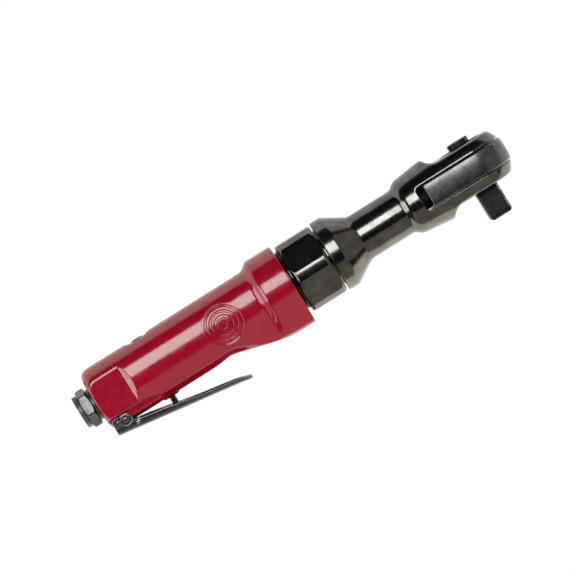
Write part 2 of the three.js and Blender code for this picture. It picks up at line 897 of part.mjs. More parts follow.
// The turned outside of the head from its boss to its round end, grown by `proud`.
function headProfile(proud = 0) {
  return [
    [-43.5, NECK_RADIUS + proud],
    [-42, 13.8 + proud],
    [-40.5, 15.6 + proud],
    ...arc(0, 0, HEAD_RADIUS - 0.1 + proud, 90 + CONE_TANGENT, 0, 7),
  ];
}

// The space above an ear: flat over the ear, then a hollow curve up to the boss.
function reliefAboveEar() {
  const HOLLOW = 7.24;
  const START = -14.5;
  const curve = arc(START, EAR_Y + HOLLOW, HOLLOW, 270, 195, 4);
  return outline([[25, EAR_Y], ...curve, [25, 26]]);
}

function crankCavity() {
  return turned([
    [SKIRT_REAR - 1, 0],
    [SKIRT_REAR - 1, 12.3],
    [-91.7, 12.3],
    [-91.7, 6.3],
    [-54.3, 6.3],
    [-54.3, 8.3],
    [-31, 8.3],
    [-31, 0],
  ]);
}

const LOWER_JOURNAL = 8.7;
const RING_GROOVE = { low: 11.1, high: 12.3, radius: 12.9 };

function driveBore() {
  return turnedUpright([
    [-14, 0],
    [-14, LOWER_JOURNAL + GAP],
    [0, LOWER_JOURNAL + GAP],
    [0, HUB_RADIUS + 0.35],
    [RING_GROOVE.low, HUB_RADIUS + 0.35],
    [RING_GROOVE.low, RING_GROOVE.radius],
    [RING_GROOVE.high, RING_GROOVE.radius],
    [RING_GROOVE.high, HUB_RADIUS + 0.35],
    [14, HUB_RADIUS + 0.35],
    [14, 0],
  ], 32);
}

function ratchetHousing() {
  const SNAP_GROOVE = 14.5;
  const outside = turned([
    [SKIRT_REAR, 0],
    [SKIRT_REAR, SKIRT_RADIUS - 0.5],
    [SKIRT_REAR + 0.5, SKIRT_RADIUS],
    [-99.5, SKIRT_RADIUS],
    [-99.5, SNAP_GROOVE],
    [-97.7, SNAP_GROOVE],
    [-97.7, SKIRT_RADIUS],
    [FLANGE.x, SKIRT_RADIUS],
    [FLANGE.x, FLANGE.radius - 0.4],
    [FLANGE.x + 0.4, FLANGE.radius],
    [FLANGE.x + FLANGE.length, FLANGE.radius],
    [-69.4, NECK_RADIUS],
    ...headProfile(),
  ], FINE);
  const relief = reliefAboveEar();
  const slot = block([SLOT_REAR, 25], [-SLOT_HALF_HEIGHT, SLOT_HALF_HEIGHT], [-25, 25]);
  return cut(
    outside,
    sideView(relief, -25, 25),
    sideView(relief, -25, 25).rotateX(Math.PI),
    slot,
    crankCavity(),
    driveBore(),
  );
}

// The yoke: a toothed ring round the anvil, with a fork that the drive bushing works in.
function ratchetYoke() {
  const HALF_HEIGHT = 6.15;
  const REAR = -28.1;
  const REAR_HALF_WIDTH = 16.6;
  const FORK_HALF_WIDTH = 8.6;
  const FORK_FLOOR = -20.6;
  const CROWN = 0.35;
  const round = arc(0, 0, HEAD_RADIUS, 95, -95, 22);
  const plan = outline([...round, [REAR, -REAR_HALF_WIDTH], [REAR, REAR_HALF_WIDTH]]);
  const body = planView(plan, -HALF_HEIGHT, HALF_HEIGHT);
  const crown = turned([[-45, 0], [-45, 15.2 + CROWN], ...headProfile(CROWN).slice(2)], FINE);
  const teeth = outline(toothed(YOKE_TEETH, YOKE_TIP_RADIUS, YOKE_ROOT_RADIUS, 0.45, 1.15));
  const fork = block([REAR - 1, FORK_FLOOR], [-10, 10], [-FORK_HALF_WIDTH, FORK_HALF_WIDTH]);
  return cut(common(body, crown), planView(teeth, -10, 10), fork);
}

// The anvil: hub, pawl pocket, lower journal and drive square.
function anvil() {
  const CORNER = 1.2;
  const HUB_TOP = 9.6;
  const HUB_FLOOR = -5.85;
  const LIP = { radius: 7.3, y: -EAR_Y - 0.5 };
  const half = SQUARE / 2;
  const barrel = turnedUpright([
    [LIP.y, 0],
    [LIP.y, LIP.radius],
    [-12.45, LIP.radius],
    [-12.45, LOWER_JOURNAL],
    [HUB_FLOOR, LOWER_JOURNAL],
    [HUB_FLOOR, HUB_RADIUS],
    [HUB_TOP - 0.5, HUB_RADIUS],
    [HUB_TOP, HUB_RADIUS - 0.5],
    [HUB_TOP, 0],
  ], 30);
  const corners = [];
  for (const [sx, sz] of [[1, 1], [-1, 1], [-1, -1], [1, -1]]) {
    const first = [sx * half, sz * (half - CORNER)];
    const second = [sx * (half - CORNER), sz * half];
    corners.push(...(sx * sz > 0 ? [first, second] : [second, first]));
  }
  const square = planView(outline(corners), SQUARE_END, LIP.y + 0.5);
  const chamfer = turnedUpright([
    [SQUARE_END, 0],
    [SQUARE_END, half + 0.4],
    [SQUARE_END + 1.6, half + 2],
    [0, half + 2],
    [0, 0],
  ], 30);
  const pocket = block([4.7, 14], [-4.8, 4.8], [-9.4, 9.4]);
  const window = block([1, 5], [-2.2, 2.2], [-3.8, 3.8]);
  const selectorBore = turnedUpright([[-4.8, 0], [-4.8, SELECTOR_BORE], [12, SELECTOR_BORE], [12, 0]]);
  const pinHole = turnedUpright([[-5.5, 0], [-5.5, 1.8], [12, 1.8], [12, 0]], 16);
  const ballHole = sideView(circle(1.9, 0, BALL.y), -10, 1.5, 8);
  return cut(
    joined(barrel, common(square, chamfer)),
    pocket,
    window,
    selectorBore,
    pinHole.translate(PAWL_PIN_X, 0, 0),
    ballHole,
  );
}

// A two-ended pawl, drawn about its own pin and pointing along +X.
function pawl() {
  const TIP_RADIUS = 11.3; // from the drive axis
  const HALF_ANGLE = 36;
  const BACK = 5.4;
  const outer = arc(0, 0, TIP_RADIUS, -HALF_ANGLE, HALF_ANGLE, 10);
  const shape = outline(
    [...outer, [8, 6.9], [BACK + 0.4, 4.6], [BACK, 2], [BACK, -2], [BACK + 0.4, -4.6], [8, -6.9]].map(
      ([x, z]) => [x - PAWL_PIN_X, z],
    ),
  );
  shape.holes.push(circle(1.8));
  return planView(shape, -4.5, 4.5, 6);
}

function pawlPin() {
  return turnedUpright([[-5.2, 0], [-5.2, 1.5], [8.8, 1.5], [8.8, 0]], 16);
}

// The reversing lever and its stem, drawn about the Y axis.
function reversingLeverBlank() {
  const LOW = EAR_Y + GAP;
  const HIGH = 16;
  const HUB = 5.85;
  const TAB = 14.5;
  const tabHalf = 4.4;
  const side = THREE.MathUtils.radToDeg(Math.asin((HUB - tabHalf) / TAB));
  const plan = outline([
    ...arc(0, 0, HUB, 180 - side, side, 10),
    ...arc(0, -TAB + tabHalf, tabHalf, 0, -180, 6),
  ]);
  const top = planView(plan, LOW, HIGH - 0.5);
  const cap = planView(
    outline([
      ...arc(0, 0, HUB - 0.5, 180 - side, side, 10),
      ...arc(0, -TAB + tabHalf, tabHalf - 0.5, 0, -180, 6),
    ]),
    HIGH - 1,
    HIGH,
  );
  const stem = turnedUpright([[-4.5, 0], [-4.5, 3.5], [-4, 4], [LOW + 1, 4], [LOW + 1, 0]]);
  return joined(top, cap, stem);
}

function reversingLever() {
  const bore = rod(-2.8, 6, 1.6, 10).rotateY(THREE.MathUtils.degToRad(PLUNGER_ANGLE));
  return cut(reversingLeverBlank(), bore);
}

function pawlPlunger() {
  return turned([[1.4, 0], [1.4, 1.3], ...arc(3.8, 0, 1.3, 90, 0, 4)], 14);
}

function plungerSpring() {
  return coil(0.95, 0.4, 3.1, 4).translate(-2.1, 0, 0);
}

function upperThrustWasher() {
  return turnedUpright([[9.9, 6.3], [9.9, 11.5], [10.8, 11.5], [10.8, 6.3]]);
}

function lowerThrustWasher() {
  return turnedUpright([[-6.45, 9.4], [-6.45, 11.3], [-6.15, 11.3], [-6.15, 9.4]]);
}

function anvilRetainingRing() {
  return openRing(11.25, 12.15, 9.8, 12.6, 4).rotateZ(Math.PI / 2);
}

function socketBall() {
  return new THREE.SphereGeometry(BALL.radius, 12, 8);
}

function socketBallSpring() {
  return coil(1, 0.4, 3.9, 4).rotateY(-Math.PI / 2).translate(0, 0, -3.1);
}

// ---------------------------------------------------------------- assembly

const airRatchet = new THREE.Group();
const tool = new THREE.Group();
airRatchet.add(tool);

function addPiece(name, geometry, material, parent = tool) {
  const mesh = new THREE.Mesh(geometry, material());
  mesh.name = name;
  parent.add(mesh);
  return mesh;
}

function addGroup(x = 0, y = 0, z = 0) {
  const group = new THREE.Group();
  group.position.set(x, y, z);
  tool.add(group);
  return group;
}

addPiece("handle_housing", handleHousing(), redPaint);
addPiece("inlet_collar", inletCollar(), rubber);
addPiece("inlet_bushing", inletBushing(), brightSteel);
addPiece("inlet_gasket", inletGasket(), rubber);
addPiece("inlet_strainer", inletStrainer(), bronze);

addPiece("throttle_lever", throttleLever(), blackOxide);
addPiece("lever_pin", leverPin(), brightSteel);

const valveGroup = addGroup(VALVE_X);
addPiece("valve_stem", valveStem(), blackOxide, valveGroup);
addPiece("valve_seal", valveSeal(), rubber, valveGroup);
addPiece("valve_bushing", valveBushing(), bronze, valveGroup);
addPiece("valve_spring", valveSpring(), springSteel, valveGroup);
addPiece("valve_plug", valvePlug(), brushedSteel, valveGroup);
addPiece("plug_o_ring", plugORing(), rubber, valveGroup);

addPiece("rear_end_plate", rearEndPlate(), castIron);
addPiece("rear_rotor_bearing", bearing(MOTOR_REAR + 0.5, MOTOR_REAR + 4.5, 3.3, 7), groundSteel);
addPiece("motor_cylinder", motorCylinder(), castIron);
addPiece("rotor", rotor(), groundSteel);
for (let i = 0; i < BLADE_COUNT; i++) {
  addPiece(`rotor_blade_${i + 1}`, rotorBlade(), bladeResin).rotation.x = bladeAngle(i);
}
addPiece("front_end_plate", frontEndPlate(), castIron);
addPiece("front_rotor_bearing", bearing(-132.2, -127.8, 4.3, 8), groundSteel);

addPiece("ring_gear", ringGear(), blackOxide);
for (let k = 0; k < PLANET_COUNT; k++) {
  const [y, z] = planetCentre(k);
  const planetGroup = addGroup(0, y, z);
  addPiece(`planet_gear_${k + 1}`, planetGear(k), groundSteel, planetGroup);
  addPiece(`planet_pin_${k + 1}`, planetPin(), groundSteel, planetGroup);
}
addPiece("crankshaft", crankshaft(), blackOxide);
addPiece("rear_crank_bearing", bearing(-98, -92, CRANK_RADIUS + GAP, 12), groundSteel);
addPiece("front_crank_bearing", tube(-54, -40, 5.3, 8, 28), groundSteel);
addPiece("drive_bushing", driveBushing(), bronze);

addPiece("coupling_nut", couplingNut(), blackOxide);
addPiece("nut_snap_ring", nutSnapRing(), springSteel);

addPiece("ratchet_housing", ratchetHousing(), blackOxide);
addPiece("ratchet_yoke", ratchetYoke(), brushedSteel);
addPiece("lower_thrust_washer", lowerThrustWasher(), groundSteel);
addPiece("upper_thrust_washer", upperThrustWasher(), groundSteel);
addPiece("anvil_retaining_ring", anvilRetainingRing(), springSteel);
addPiece("anvil", anvil(), blackOxide);

const pawlGroup = addGroup(PAWL_PIN_X);
addPiece("pawl", pawl(), groundSteel, pawlGroup).rotation.y = THREE.MathUtils.degToRad(PAWL_ANGLE);
addPiece("pawl_pin", pawlPin(), groundSteel, pawlGroup);

addPiece("reversing_lever", reversingLever(), blackOxide);
const plungerGroup = addGroup();
plungerGroup.rotation.y = THREE.MathUtils.degToRad(PLUNGER_ANGLE);
addPiece("pawl_plunger", pawlPlunger(), groundSteel, plungerGroup);
addPiece("plunger_spring", plungerSpring(), springSteel, plungerGroup);

const ballGroup = addGroup(0, BALL.y, 0);
addPiece("socket_ball", socketBall(), groundSteel, ballGroup).position.z = BALL_CENTRE_Z;
addPiece("socket_ball_spring", socketBallSpring(), springSteel, ballGroup);

// Stand the tool on its far side with the origin under the middle of its box.
const LEVER_TIP_Y = -32;
tool.position.set(
  -(INLET_END + HEAD_RADIUS) / 2,
  -(LEVER_TIP_Y + BARREL_RADIUS) / 2,
  REST_DEPTH,
);

export default airRatchet;
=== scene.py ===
# The looks of the air ratchet: fine meshes, materials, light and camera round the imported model.
#
# Shapes are written in millimetres in the tool's own axes: x along the tool towards the head, with
# 0 at the drive axis, y towards the reversing lever and z towards the flank with the badge. The
# crank axis is y = z = 0. Most pieces are closed surfaces field(x, y, z) = 0, where a field is the
# distance out of the shape, so that every edge can have its own rounding.
import json
import math

import bpy
import numpy as np
from mathutils import Matrix, Vector


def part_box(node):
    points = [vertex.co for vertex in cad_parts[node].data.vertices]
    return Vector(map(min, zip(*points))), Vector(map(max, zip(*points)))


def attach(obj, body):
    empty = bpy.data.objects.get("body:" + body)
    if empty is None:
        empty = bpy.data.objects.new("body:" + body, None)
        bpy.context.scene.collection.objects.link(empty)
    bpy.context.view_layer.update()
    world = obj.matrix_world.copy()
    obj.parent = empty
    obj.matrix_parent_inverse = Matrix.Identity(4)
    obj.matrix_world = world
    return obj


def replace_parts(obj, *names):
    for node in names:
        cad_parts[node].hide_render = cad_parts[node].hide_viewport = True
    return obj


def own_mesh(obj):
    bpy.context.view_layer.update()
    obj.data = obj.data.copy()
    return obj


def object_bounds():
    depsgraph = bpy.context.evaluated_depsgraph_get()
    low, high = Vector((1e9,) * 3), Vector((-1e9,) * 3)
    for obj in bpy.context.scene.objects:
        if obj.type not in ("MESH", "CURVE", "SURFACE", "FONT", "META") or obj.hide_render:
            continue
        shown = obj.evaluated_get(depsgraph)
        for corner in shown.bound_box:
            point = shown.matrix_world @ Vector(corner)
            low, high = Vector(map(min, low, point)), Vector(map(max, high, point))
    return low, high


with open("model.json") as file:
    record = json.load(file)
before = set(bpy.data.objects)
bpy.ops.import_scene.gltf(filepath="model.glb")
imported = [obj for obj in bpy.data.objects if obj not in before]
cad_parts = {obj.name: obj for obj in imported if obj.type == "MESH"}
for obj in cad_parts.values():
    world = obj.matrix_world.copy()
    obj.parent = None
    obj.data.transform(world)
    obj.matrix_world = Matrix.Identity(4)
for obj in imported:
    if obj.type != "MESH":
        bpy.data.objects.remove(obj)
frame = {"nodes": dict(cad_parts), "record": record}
cad_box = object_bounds()

MM = 0.001


def middle(node):
    low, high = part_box(node)
    return (low + high) / 2


ORIGIN = Vector((middle("anvil").x, *middle("front_crank_bearing").yz))


def span(node):
    """Lowest and highest corner of a CAD node, in millimetres in the tool's axes."""
    return [np.array((corner - ORIGIN) / MM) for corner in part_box(node)]


# ------------------------------------------------------------------ driving dimensions

HANDLE_LOW, HANDLE_HIGH = span("handle_housing")
HANDLE_REAR, HANDLE_FRONT = HANDLE_LOW[0], HANDLE_HIGH[0]
BARREL_RADIUS = HANDLE_HIGH[2]
REST_DEPTH = -HANDLE_LOW[2]
BELLY_Y = HANDLE_LOW[1]
GRIP_TOP = 17.88
GRIP_FLOOR = -17.0
FLANK = (-8.6, 0.49, 25.0)  # centre z, y and radius of the grip's flank
SHOULDER = (3.83, 4.29, 12.0)
CROWN = (0.0, 0.48, 17.4)
SHOULDER_FROM, SHOULDER_TO = 17, 45  # degrees round the shoulder's centre, where the arcs meet
PAD_DEPTH = 13.8
PAD_FRONT = -211.5
LUG_HALF_WIDTH = 9.8
FLARE = (-133.5, -126.2)
BADGE_X, BADGE_RADIUS, BADGE_RELIEF = -153.1, 11.4, 0.8
STEM_X = float((span("valve_stem")[0][0] + span("valve_stem")[1][0]) / 2)
PIN_X, PIN_Y = (float(v) for v in (sum(span("lever_pin")) / 2)[:2])
HEAD_RADIUS = 20.3
NECK_RADIUS = 12.7
EAR_Y = 12.75
SLOT_HALF = 6.75
SLOT_REAR = -32.4
NUT_ACROSS, NUT_RADIUS = 38.8, 20.9
INLET_ACROSS = 19.0
FLANGE_RADIUS = 20.2
SQUARE = 12.7
SQUARE_END = span("anvil")[0][1]
LEVER_SLOPE = math.tan(math.radians(8.6))
LEVER_REAR = -229.4
SHEET = 1.5  # thickness of the lever
STAMPED = 0.08  # depth of the marks pressed into the lever's ears
SELECTOR_AIM = math.radians(25)  # where the plunger points, from +x towards +z

# ------------------------------------------------------------------ shaping


def least(a, b, k=0.0):
    """The smaller of two values, eased over k."""
    if np.isscalar(k) and k == 0:
        return np.minimum(a, b)
    h = np.maximum(k - np.abs(a - b), 0) / k
    return np.minimum(a, b) - h * h * k / 4


def most(a, b, k=0.0):
    """The larger of two values, eased over k."""
    return -least(-a, -b, k)


def either(a, b, fillet=0.0):
    """Two shapes joined, with a fillet between them."""
    return least(a, b, fillet)


def both(a, b, edge=0.0):
    """What two shapes share, with a rounded edge."""
    return most(a, b, edge)


def without(a, b, edge=0.0):
    """Shape a with shape b cut out of it."""
    return most(a, -b, edge)


def ease(t):
    """0 to 1, smooth at both ends."""
    t = np.clip(t, 0, 1)
    return t * t * (3 - 2 * t)


def between(value, low, high):
    """How far a value lies outside low to high."""
    return np.abs(value - (low + high) / 2) - (high - low) / 2


def beyond_line(u, v, start, end):
    """How far a point lies to the right of the line from start to end."""
    du, dv = end[0] - start[0], end[1] - start[1]
    return ((u - start[0]) * dv - (v - start[1]) * du) / np.hypot(du, dv)


def hexagon(u, v, across, turn):
    """A hexagon, `across` wide over its flats, with its first corner at `turn` degrees."""
    sides = [math.radians(turn + 30 + 60 * i) for i in range(3)]
    reach = [np.abs(u * math.cos(a) + v * math.sin(a)) for a in sides]
    return np.maximum(np.maximum(reach[0], reach[1]), reach[2]) - across / 2


def net(field, low, high, cell):
    """Points and quads of a coarse closed surface, through the cells where the field changes
    sign."""
    axes = [np.arange(a - 2 * cell, b + 3 * cell, cell) for a, b in zip(low, high)]
    x, y, z = (axis.astype(np.float32) for axis in axes)
    inside = field(x[:, None, None], y[None, :, None], z[None, None, :]) < 0
    shape = [n - 1 for n in inside.shape]
    corners = np.zeros(shape, np.int8)
    for i, j, k in np.ndindex(2, 2, 2):
        corners += inside[i : i + shape[0], j : j + shape[1], k : k + shape[2]]
    mixed = (corners > 0) & (corners < 8)
    number = np.full(shape, -1, np.int32)
    number[mixed] = np.arange(mixed.sum())
    cells = np.argwhere(mixed)
    points = np.stack([axes[d][cells[:, d]] + cell / 2 for d in range(3)], 1)
    quads = []
    steps = np.eye(3, dtype=int)
    for d in range(3):
        count = inside.shape[d]
        first = inside.take(range(count - 1), d)
        second = inside.take(range(1, count), d)
        edges = np.argwhere(first != second)
        e, f = steps[(d + 1) % 3], steps[(d + 2) % 3]
        ring = [edges, edges - e, edges - e - f, edges - f]
        quad = np.stack([number[tuple(r.T)] for r in ring], 1)
        inwards = ~first[tuple(edges.T)]
        quad[inwards] = quad[inwards][:, ::-1]
        quads.append(quad)
    return points, np.concatenate(quads)


def slope_of(field, points, reach=0.01):
    """The way the field rises fastest at each point, measured over reach either way."""
    shifts = reach * np.eye(3)
    sides = [field(*(points + s).T) - field(*(points - s).T) for s in shifts]
    return np.stack(sides, 1) / (2 * reach)


def settled(field, points, cell):
    """Points moved onto the surface along its slope."""
    STEPS = 3
    LEAST_STEEPNESS = 0.2  # keeps a step short where the field is almost level
    for _ in range(STEPS):
        slope = slope_of(field, points)
        steepness = np.maximum((slope * slope).sum(1), LEAST_STEEPNESS)
        move = np.clip(field(*points.T) / steepness, -cell, cell)
        points = points - move[:, None] * slope
    return points


def relaxed(field, points, quads, cell):
    """The surface's points spread evenly over it."""
    ROUNDS = 5
    starts = quads.ravel()
    ends = np.roll(quads, -1, 1).ravel()
    count = np.bincount(starts, minlength=len(points)) * 2
    points = settled(field, points, cell)
    for _ in range(ROUNDS):
        total = np.zeros_like(points)
        for d in range(3):
            total[:, d] = np.bincount(starts, points[ends, d], len(points))
            total[:, d] += np.bincount(ends, points[starts, d], len(points))
        points = settled(field, (points + total / count[:, None]) / 2, cell)
    return points


def add_mesh(name, points, faces, normals=None):
    """A smooth mesh object from points in millimetres in the tool's axes."""
    mesh = bpy.data.meshes.new(name)
    places = np.asarray(points, float) * MM + np.array(ORIGIN)
    mesh.from_pydata(places.tolist(), [], [list(map(int, face)) for face in faces])
    mesh.validate()
    mesh.shade_smooth()
    if normals is not None:
        mesh.normals_split_custom_set_from_vertices(normals.tolist())
    piece = bpy.data.objects.new(name, mesh)
    bpy.context.scene.collection.objects.link(piece)
    return piece


def shaped(name, field, low, high, cell):
    """A piece with the surface field = 0, whose box is low to high. Its normals come from the
    field, measured over most of a cell, so that narrow edges shade evenly."""
    NORMAL_REACH = 0.8
    points, quads = net(field, low, high, cell)
    points = relaxed(field, points, quads, cell)
    slope = slope_of(field, points, NORMAL_REACH * cell)
    length = np.maximum(np.linalg.norm(slope, axis=1), 1e-6)
    return add_mesh(name, points, quads, slope / length[:, None])


def rounded(profile, radius, closed=False):
    """A profile of [along, r] points with its corners rounded."""
    STEPS = 4
    SHARE = 0.45  # of a leg that a rounding may take up
    points = [np.array(p, float) for p in profile]
    last = len(points) - 1
    result = []
    for i, corner in enumerate(points):
        if not closed and i in (0, last):
            result.append(corner)
            continue
        before, after = points[i - 1] - corner, points[(i + 1) % (last + 1)] - corner
        length_before, length_after = np.linalg.norm(before), np.linalg.norm(after)
        reach = min(radius, SHARE * length_before, SHARE * length_after)
        start = corner + before / length_before * reach
        end = corner + after / length_after * reach
        for step in range(STEPS + 1):
            t = step / STEPS
            result.append((1 - t) ** 2 * start + 2 * t * (1 - t) * corner + t * t * end)
    return np.array(result)


def turned(
    name, profile, axis="x", centre=(0, 0, 0), sides=96, closed=False, edge=0.25, swell=None
):
    """A turned piece about the x, y or z axis through centre, from [along, r] points whose outside
    runs along the axis. swell(r, angle) may change the radius round the piece."""
    line = rounded(profile, edge, closed)
    legs = np.roll(line, -1, 0) - line
    if not closed:
        legs[-1] = legs[-2]
    lengths = np.linalg.norm(legs, axis=1, keepdims=True)
    outwards = np.stack([-legs[:, 1], legs[:, 0]], 1)
    before = np.roll(outwards, 1, 0)
    if not closed:
        before[0] = outwards[0]
    outwards = outwards * lengths + before * np.linalg.norm(before, axis=1, keepdims=True)
    outwards /= np.maximum(np.linalg.norm(outwards, axis=1, keepdims=True), 1e-9)
    angles = 2 * np.pi * np.arange(sides) / sides
    points, normals, faces, rings = [], [], [], []
    for (along, radius), (n_along, n_radius) in zip(line, outwards):
        pole = radius < 1e-6
        turns = angles[:1] if pole else angles
        rings.append(len(points) + np.arange(sides) * (not pole))
        for a in turns:
            r = radius if swell is None else swell(radius, a)
            points.append((along, r * math.cos(a), r * math.sin(a)))
            normals.append((n_along, n_radius * math.cos(a), n_radius * math.sin(a)))
    pairs = list(zip(rings, rings[1:] + rings[:1] if closed else rings[1:]))
    for low, high in pairs:
        for i in range(sides):
            j = (i + 1) % sides
            corners = [low[i], low[j], high[j], high[i]]
            faces.append(list(dict.fromkeys(corners)))
    order = {"x": (0, 1, 2), "y": (2, 0, 1), "z": (1, 2, 0)}[axis]
    places = np.array(points)[:, order] + np.array(centre, float)
    facing = None if swell else np.array(normals)[:, order]
    return add_mesh(name, places, faces, facing)


# ------------------------------------------------------------------ materials


class Nodes:
    """A material's nodes, with short ways to add and join them."""

    def __init__(self, name):
        self.material = bpy.data.materials.new(name)
        self.material.use_nodes = True
        self.tree = self.material.node_tree
        self.shader = self.tree.nodes["Principled BSDF"]
        self.place = self.add("ShaderNodeTexCoord").outputs["Object"]

    def add(self, kind, **settings):
        node = self.tree.nodes.new(kind)
        for key, value in settings.items():
            setattr(node, key, value)
        return node

    def link(self, source, target):
        self.tree.links.new(source, target)

    def stretched(self, scale):
        """The place, stretched by a factor along each axis."""
        node = self.add("ShaderNodeMapping")
        node.inputs["Scale"].default_value = scale
        self.link(self.place, node.inputs["Vector"])
        return node.outputs["Vector"]

    def noise(self, per_metre, detail=3.0, place=None):
        node = self.add("ShaderNodeTexNoise")
        node.inputs["Scale"].default_value = per_metre
        node.inputs["Detail"].default_value = detail
        self.link(place or self.place, node.inputs["Vector"])
        return node.outputs["Fac"]

    def ranged(self, value, low, high, from_low=0.35, from_high=0.65):
        node = self.add("ShaderNodeMapRange")
        node.inputs["From Min"].default_value = from_low
        node.inputs["From Max"].default_value = from_high
        node.inputs["To Min"].default_value = low
        node.inputs["To Max"].default_value = high
        self.link(value, node.inputs["Value"])
        return node.outputs["Result"]

    def mixed(self, factor, first, second):
        node = self.add("ShaderNodeMix", data_type="RGBA")
        self.link(factor, node.inputs["Factor"])
        for socket, colour in ((node.inputs["A"], first), (node.inputs["B"], second)):
            if isinstance(colour, tuple):
                socket.default_value = (*colour, 1)
            else:
                self.link(colour, socket)
        return node.outputs["Result"]

    def edges(self):
        """1 on worn outside edges, 0 elsewhere, broken up by noise."""
        LEVEL, SHARPNESS = 0.5, 0.14  # pointiness of a flat, and how far past it an edge is
        point = self.add("ShaderNodeNewGeometry").outputs["Pointiness"]
        edge = self.ranged(point, 0, 1, LEVEL + SHARPNESS / 2, LEVEL + SHARPNESS)
        broken = self.ranged(self.noise(700), 0, 1, 0.4, 0.6)
        node = self.add("ShaderNodeMath", operation="MULTIPLY")
        self.link(edge, node.inputs[0])
        self.link(broken, node.inputs[1])
        return node.outputs["Value"]

    def hollow_shade(self):
        """Near 1 in hollow corners, where painted shade darkens the colour, 0 elsewhere."""
        point = self.add("ShaderNodeNewGeometry").outputs["Pointiness"]
        return self.ranged(point, 0.9, 0, 0.4, 0.475)

    def bump(self, height, depth, strength):
        node = self.add("ShaderNodeBump")
        node.inputs["Distance"].default_value = depth
        node.inputs["Strength"].default_value = strength
        self.link(height, node.inputs["Height"])
        self.link(node.outputs["Normal"], self.shader.inputs["Normal"])

    def finish(self, colour, roughness, metallic):
        self.link(colour, self.shader.inputs["Base Color"])
        self.link(roughness, self.shader.inputs["Roughness"])
        self.shader.inputs["Metallic"].default_value = metallic
        return self.material


def red_paint():
    """Thick enamel: a little orange peel, darker in patches, thin on the edges, with painted shade
    in its hollows.
    """
    n = Nodes("red_paint")
    patches = n.mixed(n.noise(60), (0.175, 0.0008, 0.0085), (0.195, 0.0012, 0.010))
    worn = n.mixed(n.edges(), patches, (0.22, 0.004, 0.012))
    # painted shade: the paint is mixed towards near black in hollow corners
    colour = n.mixed(n.hollow_shade(), worn, (0.05, 0.004, 0.003))
    n.shader.inputs["IOR"].default_value = 1.6
    n.bump(n.noise(420, 2), 0.00004, 0.35)
    return n.finish(colour, n.ranged(n.noise(250), 0.13, 0.19), 0.0)


def metal(
    name, dark, light, rough, grain=(1, 1, 1), per_metre=1300, depth=0.00001, worn=(0.3, 0.29, 0.27)
):
    """A metal with mottled colour, a grain that may run one way, and worn edges."""
    n = Nodes(name)
    mottle = n.ranged(n.noise(160, 4), 0, 1)
    colour = n.mixed(n.edges(), n.mixed(mottle, dark, light), worn)
    grained = n.noise(per_metre, 4, n.stretched(grain))
    n.bump(grained, depth, 0.5)
    return n.finish(colour, n.ranged(grained, rough[0], rough[1]), 1.0)


def rubber():
    """Black rubber with a fine, uneven skin."""
    n = Nodes("rubber")
    colour = n.mixed(n.noise(500), (0.02, 0.02, 0.02), (0.036, 0.036, 0.034))
    n.bump(n.noise(3000, 4), 0.00003, 0.6)
    return n.finish(colour, n.ranged(n.noise(800), 0.3, 0.42), 0.0)


def blade_resin():
    """Cloth set in resin, with its weave showing faintly."""
    n = Nodes("blade_resin")
    weave = n.add("ShaderNodeTexWave", bands_direction="DIAGONAL")
    weave.inputs["Scale"].default_value = 900
    weave.inputs["Distortion"].default_value = 1.5
    n.link(n.place, weave.inputs["Vector"])
    colour = n.mixed(weave.outputs["Fac"], (0.17, 0.085, 0.035), (0.24, 0.13, 0.06))
    n.bump(weave.outputs["Fac"], 0.00004, 0.6)
    return n.finish(colour, n.ranged(n.noise(700), 0.5, 0.7), 0.0)


def make_materials():
    """One material for each of the record's slots."""
    return {
        "red_paint": red_paint(),
        "black_oxide": metal(
            "black_oxide", (0.086, 0.085, 0.08), (0.14, 0.13, 0.113), (0.12, 0.2),
            worn=(0.19, 0.18, 0.165),
        ),
        "brushed_steel": metal(
            "brushed_steel", (0.075, 0.08, 0.086), (0.115, 0.117, 0.118), (0.25, 0.34),
            (0.05, 1, 1), 3000,
        ),
        "bright_steel": metal(
            "bright_steel", (0.06, 0.06, 0.06), (0.1, 0.098, 0.094), (0.26, 0.36),
            worn=(0.5, 0.49, 0.47),
        ),
        "ground_steel": metal(
            "ground_steel", (0.42, 0.42, 0.43), (0.52, 0.52, 0.52), (0.16, 0.28),
            (0.1, 1, 1), 2500,
        ),
        "cast_iron": metal(
            "cast_iron", (0.12, 0.12, 0.12), (0.2, 0.2, 0.2), (0.45, 0.65), depth=0.00008
        ),
        "blade_resin": blade_resin(),
        "rubber": rubber(),
        "spring_steel": metal("spring_steel", (0.26, 0.26, 0.27), (0.36, 0.36, 0.37), (0.25, 0.35)),
        "bronze": metal(
            "bronze", (0.32, 0.2, 0.09), (0.42, 0.29, 0.13), (0.35, 0.5), worn=(0.6, 0.45, 0.2)
        ),
    }


materials = make_materials()
body_of_node = {n: b for b, nodes in frame["record"]["behaviour"]["bodies"].items() for n in nodes}
slot_of_node = {s["node"]: s["material_slot"] for s in frame["record"]["subparts"]}

# some pieces of the black_oxide slot have a finish of their own: the throttle lever, then the anvil
# and the reversing lever, then the crankshaft, painted near black as painted shade in the head's
# slot
lever_black = metal(
    "lever_black", (0.1, 0.1, 0.097), (0.13, 0.128, 0.12), (0.22, 0.3),
    (0.1, 1, 1), 2000, depth=0.000004, worn=(0.15, 0.146, 0.136),
)
satin_black = metal(
    "satin_black", (0.018, 0.02, 0.024), (0.03, 0.032, 0.036), (0.3, 0.4), (0.05, 1, 1), 2600
)
# painted shade: the crankshaft is far darker than black oxide, so that the slot round it reads as
# shade
crank_shade_black = metal("crank_shade_black", (0.012, 0.012, 0.013), (0.03, 0.028, 0.026), (0.5, 0.7))

for node, cad_object in frame["nodes"].items():
    cad_object.data.materials.clear()
    finish = crank_shade_black if node == "crankshaft" else materials[slot_of_node[node]]
    cad_object.data.materials.append(finish)


